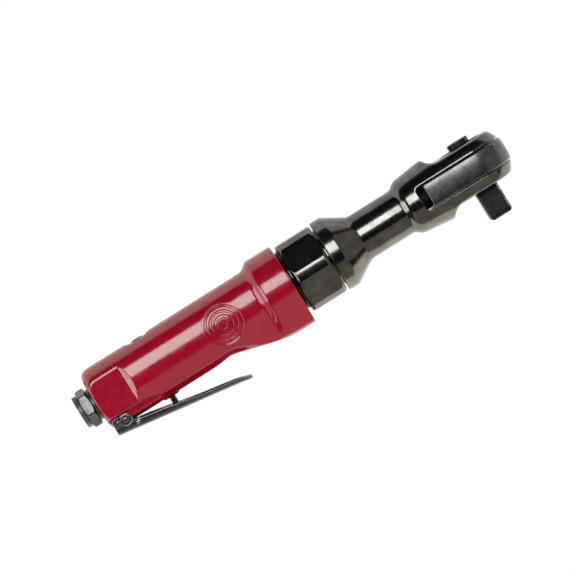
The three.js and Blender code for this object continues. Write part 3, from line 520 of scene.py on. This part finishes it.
def stands_for(piece, node, finish=None):
    """The piece takes a CAD node's place: its body and its material slot, with the slot's finish
    or one of its own."""
    piece.data.materials.append(finish or materials[slot_of_node[node]])
    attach(piece, body_of_node[node])
    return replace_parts(piece, node)


# ------------------------------------------------------------------ handle


def barrel_radius(x):
    """The barrel flares out of the grip in an S curve."""
    START = 15.0  # hidden inside the grip
    t = np.clip((x - FLARE[0]) / (FLARE[1] - FLARE[0]), 0, 1)
    return START + (BARREL_RADIUS - START) * (1 - np.cos(np.pi * t)) / 2


def grip_outer(y, side):
    """The grip's flank, shoulder and crown, three arcs that run into each other."""
    arcs = [np.hypot(side - cz, y - cy) - r for cz, cy, r in (FLANK, SHOULDER, CROWN)]
    turn = np.degrees(np.arctan2(y - SHOULDER[1], side - SHOULDER[0]))
    return np.where(turn < SHOULDER_FROM, arcs[0], np.where(turn < SHOULDER_TO, arcs[1], arcs[2]))


def belly_floor(x, scoop=0.8):
    """y of the underside: the grip's floor with a shallow scoop, then the belly's curve."""
    SCOOP_X, SCOOP_LENGTH = -158, 6
    CHORDS = ((-153.8, -17, 0.2765), (-136.8, -21.7, 0.2353), (-128.3, -23.7, 0.0794))
    dip = scoop * np.exp(-(((x - SCOOP_X) / SCOOP_LENGTH) ** 2))
    first, second, third = (y - fall * (x - start) for start, y, fall in CHORDS)
    belly = most(most(first, second, 0.5), most(third, BELLY_Y, 0.3), 0.5)
    return least(GRIP_FLOOR + dip, belly, 0.8)


def handle_skin(x, y, z):
    """The handle's outside, without the flats, recesses and bores. Below the waist a slanted
    facet and a keel run down to the floor, and both grow out where the grip meets the barrel."""
    side = np.abs(z)
    belly = ease((x + 156) / 20)
    barrel = ease((x + 135) / 8)
    floor = belly_floor(x)
    edge = belly_floor(x, 0) + 3.6 - 2.0 * belly
    foot = (12.19 - 0.7 * ease((x + 158) / 10) + 1.8 * barrel, edge)
    toe = (6.5 + 4.1 * belly, floor)
    waist_y = -6.0 - 3.0 * barrel
    waist = most(15.4, np.sqrt(barrel_radius(x) ** 2 - waist_y**2) - 0.05, 0.5)
    facet = beyond_line(side, y, toe, foot)
    lower = both(facet, floor - y, 1.0)
    main = either(grip_outer(y, side), np.hypot(y, z) - barrel_radius(x), 3.6)
    main = both(main, lower, 0.8)
    keel_side = beyond_line(side, y, foot, (waist, waist_y))
    keel = both(both(keel_side, lower, 0.8), y - waist_y)
    return either(main, keel, 0.25)


def handle_field(x, y, z):
    """The handle: its skin cut by the ends, the flat it rests on, the side pads, the lever's
    recess, the plug's spot face and the bores, with a small boss round the valve stem."""
    side = np.abs(z)
    body = handle_skin(x, y, z)
    body = both(body, HANDLE_REAR - x, 6.0)
    body = both(body, x - HANDLE_FRONT, 1.0)
    body = both(body, -REST_DEPTH - z, 0.3)
    stem = np.hypot(x - STEM_X, z)
    boss = both(stem - 4.6, -17.9 - y, 0.7)
    body = either(body, both(boss, y + 15), 1.0)
    pad = both(PAD_DEPTH - side, (x - PAD_FRONT - (side - PAD_DEPTH)) * math.sqrt(0.5), 0.5)
    body = without(body, pad, 0.6)
    recess_top = -11 - 5.8 * np.clip((x + 209) / 13, 0, None) ** 2
    recess = both(LUG_HALF_WIDTH - side, y - recess_top, 1.2)
    body = without(body, recess, 0.9)
    spot_face = both(16.75 - y, stem - 7.1, 0.8)
    body = without(body, spot_face, 0.9)
    for bore, edge in handle_bores(x, y, z, stem):
        body = without(body, bore, edge)
    return body


def handle_bores(x, y, z, stem):
    """The bores, each with the rounding of its mouth: ring gear, motor, inlet, valve plug, valve
    chamber, valve bushing, the two exhaust holes in the rear face, and the lever's pin."""
    axis = np.hypot(y, z)
    motor_rear = span("rear_end_plate")[0][0] - 0.3
    exhaust = np.hypot(y - 10.8, np.abs(z) - 8.5)
    return [
        (both(axis - 16.9, -127.2 - x), 0.6),
        (both(axis - 14.6, between(x, motor_rear, -126)), 0),
        (both(axis - 8.3, x + 213.5), 0.5),
        (both(stem - 5.6, 7 - y), 0.7),
        (both(stem - 4.9, between(y, -6.2, 8)), 0),
        (both(stem - 2.6, y + 5), 0.5),
        (both(exhaust - 1.8, x + 200), 0.6),
        (np.hypot(x - PIN_X, y - PIN_Y) - 1.65, 0.3),
    ]


def badge_height(reach, across, along):
    """How far the badge stands proud: a rim, two rings and a pierced hexagon, with no lettering."""
    SOFT = 0.9  # how wide each slope is
    GROUND = 0.1  # share of the relief that the whole badge has

    def ring(low, high):
        return ease((reach - low) / SOFT + 0.5) * ease((high - reach) / SOFT + 0.5)

    nut = ease((3.6 - hexagon(across, along, 0, 0)) / SOFT + 0.5)
    nut *= ease((reach - 1.6) / SOFT + 0.5)
    raised = ring(10.1, 12.5) + ring(7.5, 9.2) + ring(4.9, 6.6) + nut
    return BADGE_RELIEF * (GROUND + (1 - GROUND) * raised)


def badge_boss():
    """The cast badge: a fine round patch that follows the flank, let into it by ROOT."""
    RINGS, SIDES = 92, 260
    RIM, RIM_SUNK, ROOT = 0.1, 0.05, 1.2
    points, faces = [], []
    reaches = np.linspace(0, BADGE_RADIUS, RINGS)

    def flank(y):
        """z of the handle's side."""
        low = FLANK[0] + math.sqrt(FLANK[2] ** 2 - (y - FLANK[1]) ** 2)
        lift = SHOULDER[2] ** 2 - (y - SHOULDER[1]) ** 2
        high = SHOULDER[0] + math.sqrt(max(lift, 0))
        meeting = SHOULDER[1] + SHOULDER[2] * math.sin(math.radians(SHOULDER_FROM))
        return high if y > meeting else low

    def add_ring(reach, height, sunk):
        start = len(points)
        for i in range(SIDES):
            a = 2 * math.pi * i / SIDES
            across, along = reach * math.cos(a), reach * math.sin(a)
            lift = height(reach, across, along) if height else 0
            surface = flank(along)
            tilt = math.asin((along - FLANK[1]) / FLANK[2])
            points.append((
                BADGE_X + across,
                along + lift * math.sin(tilt),
                surface - sunk + lift * math.cos(tilt),
            ))
        return start

    starts = [add_ring(reach, badge_height, 0) for reach in reaches[1:]]
    starts.append(add_ring(BADGE_RADIUS + RIM, None, RIM_SUNK))
    starts.append(add_ring(BADGE_RADIUS + RIM, None, ROOT))
    for low, high in zip(starts, starts[1:]):
        for i in range(SIDES):
            j = (i + 1) % SIDES
            faces.append((low + i, high + i, high + j, low + j))
    points.append((BADGE_X, 0, flank(0) + badge_height(0, 0, 0)))
    points.append((BADGE_X, 0, flank(0) - ROOT))
    top, bottom = len(points) - 2, len(points) - 1
    for i in range(SIDES):
        j = (i + 1) % SIDES
        faces.append((top, starts[0] + i, starts[0] + j))
        faces.append((bottom, starts[-1] + j, starts[-1] + i))
    piece = add_mesh("badge_boss", points, faces)
    piece.data.materials.append(materials["red_paint"])
    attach(piece, body_of_node["handle_housing"])
    return piece


def make_handle():
    CELL = 0.42
    piece = shaped("handle_shell", handle_field, HANDLE_LOW, HANDLE_HIGH, CELL)
    stands_for(piece, "handle_housing")
    badge_boss()


# ------------------------------------------------------------------ air inlet


def bushing_field(x, y, z):
    """The inlet bushing: nose, chamfered hexagon and shank, bored with a light spiral ridge."""
    r = np.hypot(y, z)
    rear, front = span("inlet_bushing")[0][0], span("inlet_bushing")[1][0]
    nose = both(both(r - 7.65, rear - x, 0.5), x + 236)
    shank = both(both(r - 8.0, x - front, 0.6), -236.5 - x)
    flats = hexagon(z, y, INLET_ACROSS, -16.5)
    chamfer = (r - 10.97 - (x + 237.0) * 1.3) * 0.61
    front_chamfer = (r - 10.97 + (x + 233.9) * 1.3) * 0.61
    head = both(both(flats, r - 10.85, 0.3), both(chamfer, front_chamfer, 0.1), 0.25)
    head = both(head, between(x, -238.1, -232.9), 0.3)
    body = either(either(nose, shank), head, 0.4)
    PITCH = 1.41
    turns = np.arctan2(z, y) / (2 * np.pi) + x / PITCH
    ridge = 0.32 * (np.abs(turns - np.floor(turns) - 0.5) * 2 - 0.5) * ease((-226 - x) / 3)
    mouth = 6.6 - (x + 240) * 0.0625
    bore = both(r - mouth - ridge, x + 227, 0.3)
    entry = (r - 6.9 + (x + 240.2)) * 0.7
    return without(without(without(body, bore), entry, 0.15), both(r - 4.5, x + 213), 0.2)


def make_inlet():
    low, high = span("inlet_bushing")
    stands_for(shaped("inlet_hex_bushing", bushing_field, low, high, 0.3), "inlet_bushing")
    low, high = span("inlet_collar")
    ring = [[low[0], 7.95], [low[0], 8.7], [low[0] + 0.3, 8.95], [high[0], 8.95], [high[0], 7.95]]
    stands_for(turned("inlet_seal_collar", ring, closed=True), "inlet_collar")
    low, high = span("inlet_gasket")
    ring = [[low[0], 8.3], [low[0], 8.75], [high[0], 8.75], [high[0], 8.3]]
    stands_for(turned("inlet_gasket_ring", ring, closed=True, edge=0.15), "inlet_gasket")


# ------------------------------------------------------------------ throttle lever and valve


def lever_floor(x):
    """y of the lever's outer face, which turns down a little at the tip."""
    return -20.9 - (x + 226.3) * LEVER_SLOPE - 0.28 * ease((x + 161) / 5)


def lever_field(x, y, z):
    """The lever: a channel of bent sheet with low wings, which rise into ears at the pin."""
    side = np.abs(z)
    floor = lever_floor(x)
    rise = 4.4 - 1.7 * ease((x + 215) / 40) - 0.3 * ease((x + 175) / 15)
    wing_top = floor + rise - (rise - SHEET - 0.3) * ease((x + 164) / 10)
    taper = 1.8 * np.clip((x + 213) / 53, 0, 1)
    tip = 4.0 * np.clip((x + 161) / 7, 0, 1) ** 2
    pin = np.hypot(x - PIN_X, y - PIN_Y)
    ring = np.exp(-(((pin - 2.9) / 0.6) ** 2))
    oblong_line = np.hypot(x + 226.3, np.maximum(np.abs(y + 15.9) - 1.6, 0)) - 1.0
    oblong = np.exp(-((oblong_line / 0.5) ** 2))
    half_width = 11.6 - taper - tip - STAMPED * np.maximum(ring, oblong)
    ear_front = beyond_line(x, y, (-217.4, -19.0), (-219.9, -11.0))
    ear = both(both(y + 11.6, ear_front, 2.0), LEVER_REAR + 0.1 - x, 1.6)
    profile = either(y - wing_top, ear, 1.2)
    block = both(profile, both(LEVER_REAR - x, x + 154.6, 0.1), 0.3)
    block = both(block, both(side - half_width, floor - y, 3.6), 0.3)
    channel = both(side - half_width + SHEET, floor + SHEET - y, 2.0)
    channel = both(channel, x + 153)
    body = without(block, channel, 0.15)
    body = without(body, pin - 1.58, 0.15)
    slot = np.hypot(np.maximum(np.abs(x + 217.2) - 0.8, 0), y + 19.45) - 0.7
    return without(body, slot, 0.2)


def pin_profile(half_length, radius):
    """A pin with domed ends, as [along, r] points."""
    DOME = 0.7
    angles = np.radians(np.linspace(0, 90, 9))
    end = [[half_length - DOME * (1 - math.cos(a)), radius * math.sin(a)] for a in angles]
    return [[-along, r] for along, r in end] + end[::-1]


def plug_field(x, y, z):
    """The valve plug: a domed cap with a hexagon socket, and a groove for its ring."""
    DOME = 7.9
    r = np.hypot(x - STEM_X, z)
    dome = np.sqrt(r * r + (y - (GRIP_TOP - DOME)) ** 2) - DOME
    body = both(both(r - 5.3, dome, 0.5), 7.3 - y, 0.5)
    groove = both(4.3 - r, between(y, 9.0, 10.8))
    socket = both(hexagon(x - STEM_X, z, 4.0, 0), 14.6 - y)
    return without(without(body, groove), socket, 0.35)


def make_lever_and_valve():
    low, high = span("throttle_lever")
    sheet = shaped("throttle_lever_sheet", lever_field, low, high, 0.2)
    stands_for(sheet, "throttle_lever", lever_black)
    half = span("lever_pin")[1][2]
    pin = turned("lever_pivot_pin", pin_profile(half, 1.5), "z", (PIN_X, PIN_Y, 0), 48, edge=0.02)
    stands_for(pin, "lever_pin")
    foot = span("valve_stem")[0][1]
    stem = [
        [foot, 0], [foot, 0.9], [foot + 0.3, 1.45], [foot + 0.9, 1.7],
        [-4.4, 1.7], [-4.4, 4.2], [-2.2, 4.2], [-1.6, 3.6], [-1.6, 0],
    ]
    stands_for(turned("throttle_valve_stem", stem, "y", (STEM_X, 0, 0), 64), "valve_stem")
    low, high = span("valve_plug")
    stands_for(shaped("valve_cap_plug", plug_field, low, high, 0.25), "valve_plug")


# ------------------------------------------------------------------ springs


def make_spring(name, node, radius, wire, length, towards):
    """A coil spring with closed ends, wound along towards about the middle of the CAD node."""
    TURNS, STEPS, SIDES = 6, 36, 10
    towards = np.array(towards, float)
    helper = np.eye(3)[np.argmin(np.abs(towards))]
    u = np.cross(towards, helper)
    u /= np.linalg.norm(u)
    v = np.cross(towards, u)
    centre = sum(span(node)) / 2
    turn = np.linspace(0, TURNS, TURNS * STEPS + 1)[:, None]
    knots = [0, 1, TURNS - 1, TURNS]
    along = np.interp(turn, knots, [0, wire, length - wire, length]) - length / 2
    out = np.cos(2 * np.pi * turn) * u + np.sin(2 * np.pi * turn) * v
    path = centre + radius * out + along * towards
    run = np.gradient(path, axis=0)
    run /= np.linalg.norm(run, axis=1, keepdims=True)
    side = np.cross(run, out)
    angles = 2 * np.pi * np.arange(SIDES) / SIDES
    rings = [path + wire / 2 * (math.cos(a) * out + math.sin(a) * side) for a in angles]
    points = np.stack(rings, 1).reshape(-1, 3)
    faces = []
    for start in range(0, len(points) - SIDES, SIDES):
        for i in range(SIDES):
            j = (i + 1) % SIDES
            faces.append((start + i, start + j, start + SIDES + j, start + SIDES + i))
    faces.append(range(SIDES - 1, -1, -1))
    faces.append(range(len(points) - SIDES, len(points)))
    piece = stands_for(add_mesh(name, points, faces), node)
    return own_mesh(piece)


def make_springs():
    aim = (math.cos(SELECTOR_AIM), 0, math.sin(SELECTOR_AIM))
    make_spring("valve_return_coil", "valve_spring", 3.1, 0.7, 7.1, (0, -1, 0))
    make_spring("plunger_coil", "plunger_spring", 0.95, 0.4, 3.1, aim)
    make_spring("detent_coil", "socket_ball_spring", 1.0, 0.4, 3.9, (0, 0, -1))


# ------------------------------------------------------------------ coupling nut and ring gear


def nut_field(x, y, z):
    """The coupling nut: a hexagon with turned corners, chamfered at both ends."""
    r = np.hypot(y, z)
    rear, front = span("coupling_nut")[0][0], span("coupling_nut")[1][0]
    body = both(hexagon(z, y, NUT_ACROSS, 0), r - NUT_RADIUS, 0.35)
    for face in (rear - x, x - front):
        chamfer = (r - 19.35 + face * 0.85) * 0.76
        body = both(both(body, chamfer, 0.3), face, 0.4)
    bore = either(both(r - 17.5, x + 97.5), r - 16.2)
    return without(body, bore, 0.5)


def ring_gear_piece():
    """The ring gear: a threaded ring outside and 42 short teeth inside."""
    TEETH = 42
    ROOT, TIP = 14.4, 13.15
    BODY, GROOVE, CREST = 16.5, 16.75, 17.2
    PITCH = 1.5
    rear, front = span("ring_gear")[0][0], span("ring_gear")[1][0]
    step = HANDLE_FRONT + 0.3
    threads = []
    ridge = step + 0.6
    while ridge < front - 1:
        for share, radius in ((0, GROOVE), (0.25, CREST), (0.5, CREST), (0.75, GROOVE)):
            threads.append([ridge + PITCH * share, radius])
        ridge += PITCH
    profile = [
        [rear, TIP], [rear, BODY], [step, BODY], *threads, [front, GROOVE], [front, TIP],
    ]

    def teeth(radius, angle):
        if radius > ROOT:
            return radius
        wave = math.cos(TEETH * (angle - math.pi / 2))
        return TIP + (ROOT - TIP) * (0.5 + 0.5 * max(-1.0, min(1.0, 2.2 * wave)))

    return turned("ring_gear_thread", profile, sides=TEETH * 8, closed=True, edge=0.12, swell=teeth)


def make_nut():
    low, high = span("coupling_nut")
    stands_for(shaped("coupling_hex_nut", nut_field, low, high, 0.42), "coupling_nut")
    stands_for(ring_gear_piece(), "ring_gear")


# ------------------------------------------------------------------ ratchet head

CONE_LEAN = math.radians(6.9)
TANGENT_X = -HEAD_RADIUS * math.sin(CONE_LEAN)
TANGENT_R = HEAD_RADIUS * math.cos(CONE_LEAN)


def head_round(x, r, proud=0.0):
    """The head's cone, which runs into a round end about the drive axis."""
    cone = (r - TANGENT_R) * math.cos(CONE_LEAN) - (x - TANGENT_X) * math.sin(CONE_LEAN)
    ball = np.hypot(x, r) - HEAD_RADIUS
    return np.where(x * math.cos(CONE_LEAN) + r * math.sin(CONE_LEAN) < 0, cone, ball) - proud


def housing_field(x, y, z):
    """The ratchet housing: skirt, flange with its cone, neck, and the head with two ears."""
    r = np.hypot(y, z)
    rear = span("ratchet_housing")[0][0]
    skirt = both(both(r - 15.9, rear - x, 0.5), x + 87)
    flange = both(r - FLANGE_RADIUS, -87.9 - x, 0.6)
    cone = beyond_line(x, r, (-69.4, NECK_RADIUS), (-81.7, FLANGE_RADIUS))
    flange = both(both(flange, cone, 0.5), x + 68)
    neck = both(r - NECK_RADIUS, between(x, -90, -30))
    shoulder = beyond_line(x, r, (-39.9, 16.0), (-42.9, NECK_RADIUS))
    head = both(head_round(x, r), shoulder, 1.8)
    body = either(either(flange, neck, 0.8), head, 1.3)
    body = either(body, skirt)
    level = np.abs(y)
    hollow = np.where(x > -14.5, EAR_Y - level, np.hypot(x + 14.5, level - 19.99) - 7.24)
    body = without(body, hollow, 1.3)
    slot = both(level - SLOT_HALF, SLOT_REAR - x, 1.6 + ease(y + 0.5))
    body = without(body, slot, 0.45 + 0.55 * ease(y + 0.5))
    for bore, edge in housing_bores(x, y, z, r):
        body = without(body, bore, edge)
    return body


def housing_bores(x, y, z, r):
    """The bores, each with the rounding of its mouth: crank bearing, crank, front bearing, the
    snap ring's groove, the two drive bores and the retaining ring's groove."""
    drive = np.hypot(x, z)
    return [
        (both(r - 12.3, x + 91.7), 0.4),
        (both(r - 6.3, x + 54.0), 0),
        (both(r - 8.3, between(x, -54.3, -31)), 0),
        (both(np.abs(x + 98.6) - 0.9, 14.5 - r), 0),
        (both(drive - 9.0, y - 1), 0.5),
        (both(drive - 11.95, -y), 0.5),
        (both(drive - 12.9, between(y, 11.1, 12.3)), 0),
    ]


def yoke_field(x, y, z):
    """The yoke: a toothed ring round the anvil, with a fork at its rear for the crank pin."""
    RADIUS = 20.4
    r = np.hypot(y, z)
    side = np.abs(z)
    drive = np.hypot(x, side)
    rear = span("ratchet_yoke")[0][0]
    turn = math.radians(5)
    end = (-RADIUS * math.sin(turn), RADIUS * math.cos(turn))
    cheek = beyond_line(x, side, end, (-28.1, 16.6))
    plan = np.where(beyond_line(x, side, (0, 0), end) > 0, drive - RADIUS, cheek)
    body = both(both(plan, head_round(x, r, 0.35), 1.0), rear - x, 1.0)
    body = both(body, np.abs(y) - 6.15, 0.5)
    tooth = np.cos(24 * np.arctan2(z, x))
    bore = drive - 12.7 + 0.5 * np.clip(1.6 * tooth, -1, 1)
    body = without(body, bore, 0.2)
    fork = both(side - 8.6, x + 20.6, 1.0)
    return without(body, fork, 0.4)


def anvil_field(x, y, z):
    """The anvil: hub, journal, lip and drive square, cut for the selector, pawl, pin and ball."""
    drive = np.hypot(x, z)
    half = SQUARE / 2
    hub = both(both(drive - 11.6, y - 9.6, 0.6), -5.85 - y, 0.2)
    journal = both(both(drive - 8.7, -12.45 - y, 0.2), y + 5)
    lip = both(both(drive - 7.3, -13.25 - y, 0.5), y + 12)
    flats = both(np.abs(x) - half, np.abs(z) - half)
    corners = (np.abs(x) + np.abs(z) - (SQUARE - 1.2)) * math.sqrt(0.5)
    square = both(flats, corners, 0.25)
    nose = (np.maximum(np.abs(x), np.abs(z)) - half - (y - SQUARE_END - 1.3)) * math.sqrt(0.5)
    square = both(both(square, nose, 0.4), both(SQUARE_END - y, y + 12), 0.3)
    body = either(either(hub, journal), either(lip, square, 0.7))
    neck = both(between(y, -5, 12), drive - 4.3)
    pocket = both(both(between(x, 4.7, 14), np.abs(y) - 4.8), np.abs(z) - 9.4)
    window = both(both(between(x, 1, 5), np.abs(y) - 2.2), np.abs(z) - 3.8)
    pin_hole = both(np.hypot(x - 7.6, z) - 1.8, -5.5 - y)
    ball_hole = both(np.hypot(x, y + 24) - 1.9, z - 1.5)
    cuts = ((neck, 0.3), (pocket, 0.2), (window, 0), (pin_hole, 0.3), (ball_hole, 0.4))
    for cut, edge in cuts:
        body = without(body, cut, edge)
    return body


def selector_field(x, y, z):
    """The reversing lever: a round hub with a thumb tab, on a stem with a plunger bore."""
    HUB, REACH = 5.85, 10.1
    low = span("reversing_lever")[0][1]
    drive = np.hypot(x, z)
    hub = drive - HUB
    tab = np.hypot(x, np.clip(z, -REACH, 0) - z) - (HUB - 1.45 * ease(-z / REACH))
    plan = either(hub, tab, 0.5)
    top = 16.0 - 0.5 * ease((-z - 6) / 6)
    cap = both(both(plan, y - top, 0.6), EAR_Y + 0.3 - y, 0.4)
    dimple = both(drive - 2.2, 15.55 - y, 0.3)
    grooves = both(np.abs(np.abs(z + 11.3) - 1.1) - 0.25, 15.2 - y, 0.2)
    cap = without(without(cap, dimple, 0.3), both(grooves, np.abs(x) - 2.6, 0.2), 0.2)
    stem = both(both(drive - 4.0, low - y, 0.5), y - 14)
    cos, sin = math.cos(SELECTOR_AIM), math.sin(SELECTOR_AIM)
    along, across = x * cos + z * sin, z * cos - x * sin
    bore = both(np.hypot(across, y) - 1.6, -2.8 - along)
    return without(either(cap, stem, 0.3), bore, 0.15)


def open_ring(name, node, profile, gap_half):
    """A turned ring about the drive axis, opened on its +z side."""
    low, high = span(node)

    def field(x, y, z):
        drive = np.hypot(x, z)
        ring = both(between(drive, *profile), between(y, low[1], high[1]), 0.25)
        return without(ring, both(np.abs(x) - gap_half, -z), 0.3)

    return stands_for(shaped(name, field, low, high, 0.2), node)


def make_head():
    for name, node, field, cell, finish in (
        ("ratchet_head_housing", "ratchet_housing", housing_field, 0.45, None),
        ("ratchet_drive_yoke", "ratchet_yoke", yoke_field, 0.38, None),
        ("square_drive_anvil", "anvil", anvil_field, 0.34, satin_black),
        ("reversing_selector", "reversing_lever", selector_field, 0.22, satin_black),
    ):
        low, high = span(node)
        stands_for(shaped(name, field, low, high, cell), node, finish)
    low, high = span("upper_thrust_washer")
    ring = [[low[1], 6.3], [low[1], 11.5], [high[1], 11.5], [high[1], 6.3]]
    washer = turned("hub_thrust_washer", ring, "y", closed=True, edge=0.15)
    stands_for(washer, "upper_thrust_washer")
    open_ring("hub_retaining_ring", "anvil_retaining_ring", (9.8, 12.6), 2.0)
    STEPS = 24
    low, high = span("socket_ball")
    centre = np.array((middle("socket_ball") - ORIGIN) / MM)
    radius = float((high - low)[0] / 2)
    angles = [math.pi * i / STEPS for i in range(STEPS + 1)]
    arc = [[-radius * math.cos(a), radius * math.sin(a)] for a in angles]
    stands_for(turned("socket_detent_ball", arc, "z", centre, 48, edge=0.01), "socket_ball")


make_handle()
make_inlet()
make_lever_and_valve()
make_nut()
make_head()
make_springs()

# ------------------------------------------------------------------ camera, light and floor

FIELD = 0.2995  # metres across the picture
DISTANCE = 2.4
SENSOR = 36.0
ROLL = math.radians(32.1)
TARGET = Vector((-0.0045, 0.0031, middle("handle_housing").z))
VIEW = Vector((-0.021, 0.040, 1.0)).normalized()  # from the target to the camera


def make_camera():
    camera = bpy.data.objects.new("camera", bpy.data.cameras.new("camera"))
    camera.data.sensor_width = SENSOR
    camera.data.lens = SENSOR * DISTANCE / FIELD
    camera.data.clip_start, camera.data.clip_end = 0.05, 20
    right = Vector((math.cos(ROLL), -math.sin(ROLL), 0))
    right = (right - right.dot(VIEW) * VIEW).normalized()
    turn = Matrix((right, VIEW.cross(right), VIEW)).transposed().to_4x4()
    camera.matrix_world = Matrix.Translation(TARGET + VIEW * DISTANCE) @ turn
    bpy.context.scene.collection.objects.link(camera)
    bpy.context.scene.camera = camera


def soft_box(name, direction, distance, size, radiance, colour=(1, 1, 1), diffuse_only=False):
    """A rectangular light that faces the tool. Its first size runs along x, or along y for a light
    at the tool's ends."""
    light = bpy.data.lights.new(name, "AREA")
    light.shape = "RECTANGLE"
    light.size, light.size_y = size
    light.color = colour
    light.energy = radiance * math.pi * size[0] * size[1]
    lamp = bpy.data.objects.new(name, light)
    away = Vector(direction).normalized()
    at_the_side = abs(away.x) < 0.7
    along = Vector((1, 0, 0)) if at_the_side else Vector((0, 1, 0))
    along = (along - along.dot(away) * away).normalized()
    turn = Matrix((along, away.cross(along), away)).transposed().to_4x4()
    lamp.matrix_world = Matrix.Translation(TARGET + away * distance) @ turn
    lamp.visible_camera = False
    lamp.visible_glossy = not diffuse_only
    bpy.context.scene.collection.objects.link(lamp)


def in_section(degrees):
    """A direction in the plane across the tool, from +z towards +y."""
    angle = math.radians(degrees)
    return (0, math.sin(angle), math.cos(angle))


def make_lights():
    soft_box("key_strip", in_section(23.0), 1.0, (1.1, 0.5), 7.6)
    soft_box("lower_card", in_section(-58.5), 1.0, (2.4, 1.2), 0.52, (1.0, 0.93, 0.82))
    soft_box("lower_fill", in_section(-48), 1.0, (1.2, 0.6), 3.5, diffuse_only=True)
    soft_box("rear_box", (-1, 0.15, 0.27), 1.1, (0.62, 0.8), 5.0)
    soft_box("front_card", (1, 0.05, 0.55), 1.1, (1.4, 0.9), 0.5, (1.0, 0.93, 0.85))


def make_world():
    """Dim all round, so that the soft boxes draw the reflections, but pale where the camera sees
    it."""
    world = bpy.data.worlds.new("studio")
    bpy.context.scene.world = world
    world.use_nodes = True
    tree = world.node_tree
    dim = tree.nodes["Background"]
    dim.inputs["Color"].default_value = (0.024, 0.028, 0.038, 1)
    pale = tree.nodes.new("ShaderNodeBackground")
    pale.inputs["Color"].default_value = (0.97, 0.97, 0.97, 1)
    ray = tree.nodes.new("ShaderNodeLightPath")
    mix = tree.nodes.new("ShaderNodeMixShader")
    tree.links.new(ray.outputs["Is Camera Ray"], mix.inputs["Fac"])
    tree.links.new(dim.outputs[0], mix.inputs[1])
    tree.links.new(pale.outputs[0], mix.inputs[2])
    tree.links.new(mix.outputs[0], tree.nodes["World Output"].inputs["Surface"])


def make_floor():
    """A pale floor that glows more strongly on the lever's side, plain to the camera and clear
    from below."""
    HALF = 4.0
    CLEARANCE = 0.0002
    GLOW = (("From Min", 0.02), ("From Max", -0.06), ("To Min", 0.58), ("To Max", 1.36))
    level = cad_box[0].z - CLEARANCE
    mesh = bpy.data.meshes.new("floor")
    corners = [(-HALF, -HALF), (HALF, -HALF), (HALF, HALF), (-HALF, HALF)]
    mesh.from_pydata([(*corner, level) for corner in corners], [], [(0, 1, 2, 3)])
    floor = bpy.data.objects.new("floor", mesh)
    bpy.context.scene.collection.objects.link(floor)
    material = bpy.data.materials.new("floor")
    material.use_nodes = True
    tree = material.node_tree
    shader = tree.nodes["Principled BSDF"]
    shader.inputs["Base Color"].default_value = (0.32, 0.32, 0.32, 1)
    shader.inputs["Roughness"].default_value = 0.9
    shader.inputs["Emission Color"].default_value = (1, 0.95, 0.88, 1)
    place = tree.nodes.new("ShaderNodeTexCoord")
    parts = tree.nodes.new("ShaderNodeSeparateXYZ")
    glow = tree.nodes.new("ShaderNodeMapRange")
    for socket, value in GLOW:
        glow.inputs[socket].default_value = value
    tree.links.new(place.outputs["Object"], parts.inputs["Vector"])
    tree.links.new(parts.outputs["Y"], glow.inputs["Value"])
    tree.links.new(glow.outputs["Result"], shader.inputs["Emission Strength"])
    seen = tree.nodes.new("ShaderNodeEmission")
    ray = tree.nodes.new("ShaderNodeLightPath")
    shown = tree.nodes.new("ShaderNodeMixShader")
    tree.links.new(ray.outputs["Is Camera Ray"], shown.inputs["Fac"])
    tree.links.new(shader.outputs[0], shown.inputs[1])
    tree.links.new(seen.outputs[0], shown.inputs[2])
    behind = tree.nodes.new("ShaderNodeNewGeometry")
    clear = tree.nodes.new("ShaderNodeBsdfTransparent")
    mix = tree.nodes.new("ShaderNodeMixShader")
    tree.links.new(behind.outputs["Backfacing"], mix.inputs["Fac"])
    tree.links.new(shown.outputs[0], mix.inputs[1])
    tree.links.new(clear.outputs[0], mix.inputs[2])
    tree.links.new(mix.outputs[0], tree.nodes["Material Output"].inputs["Surface"])
    mesh.materials.append(material)


make_camera()
make_lights()
make_world()
make_floor()
bpy.context.scene.view_settings.view_transform = "Standard"
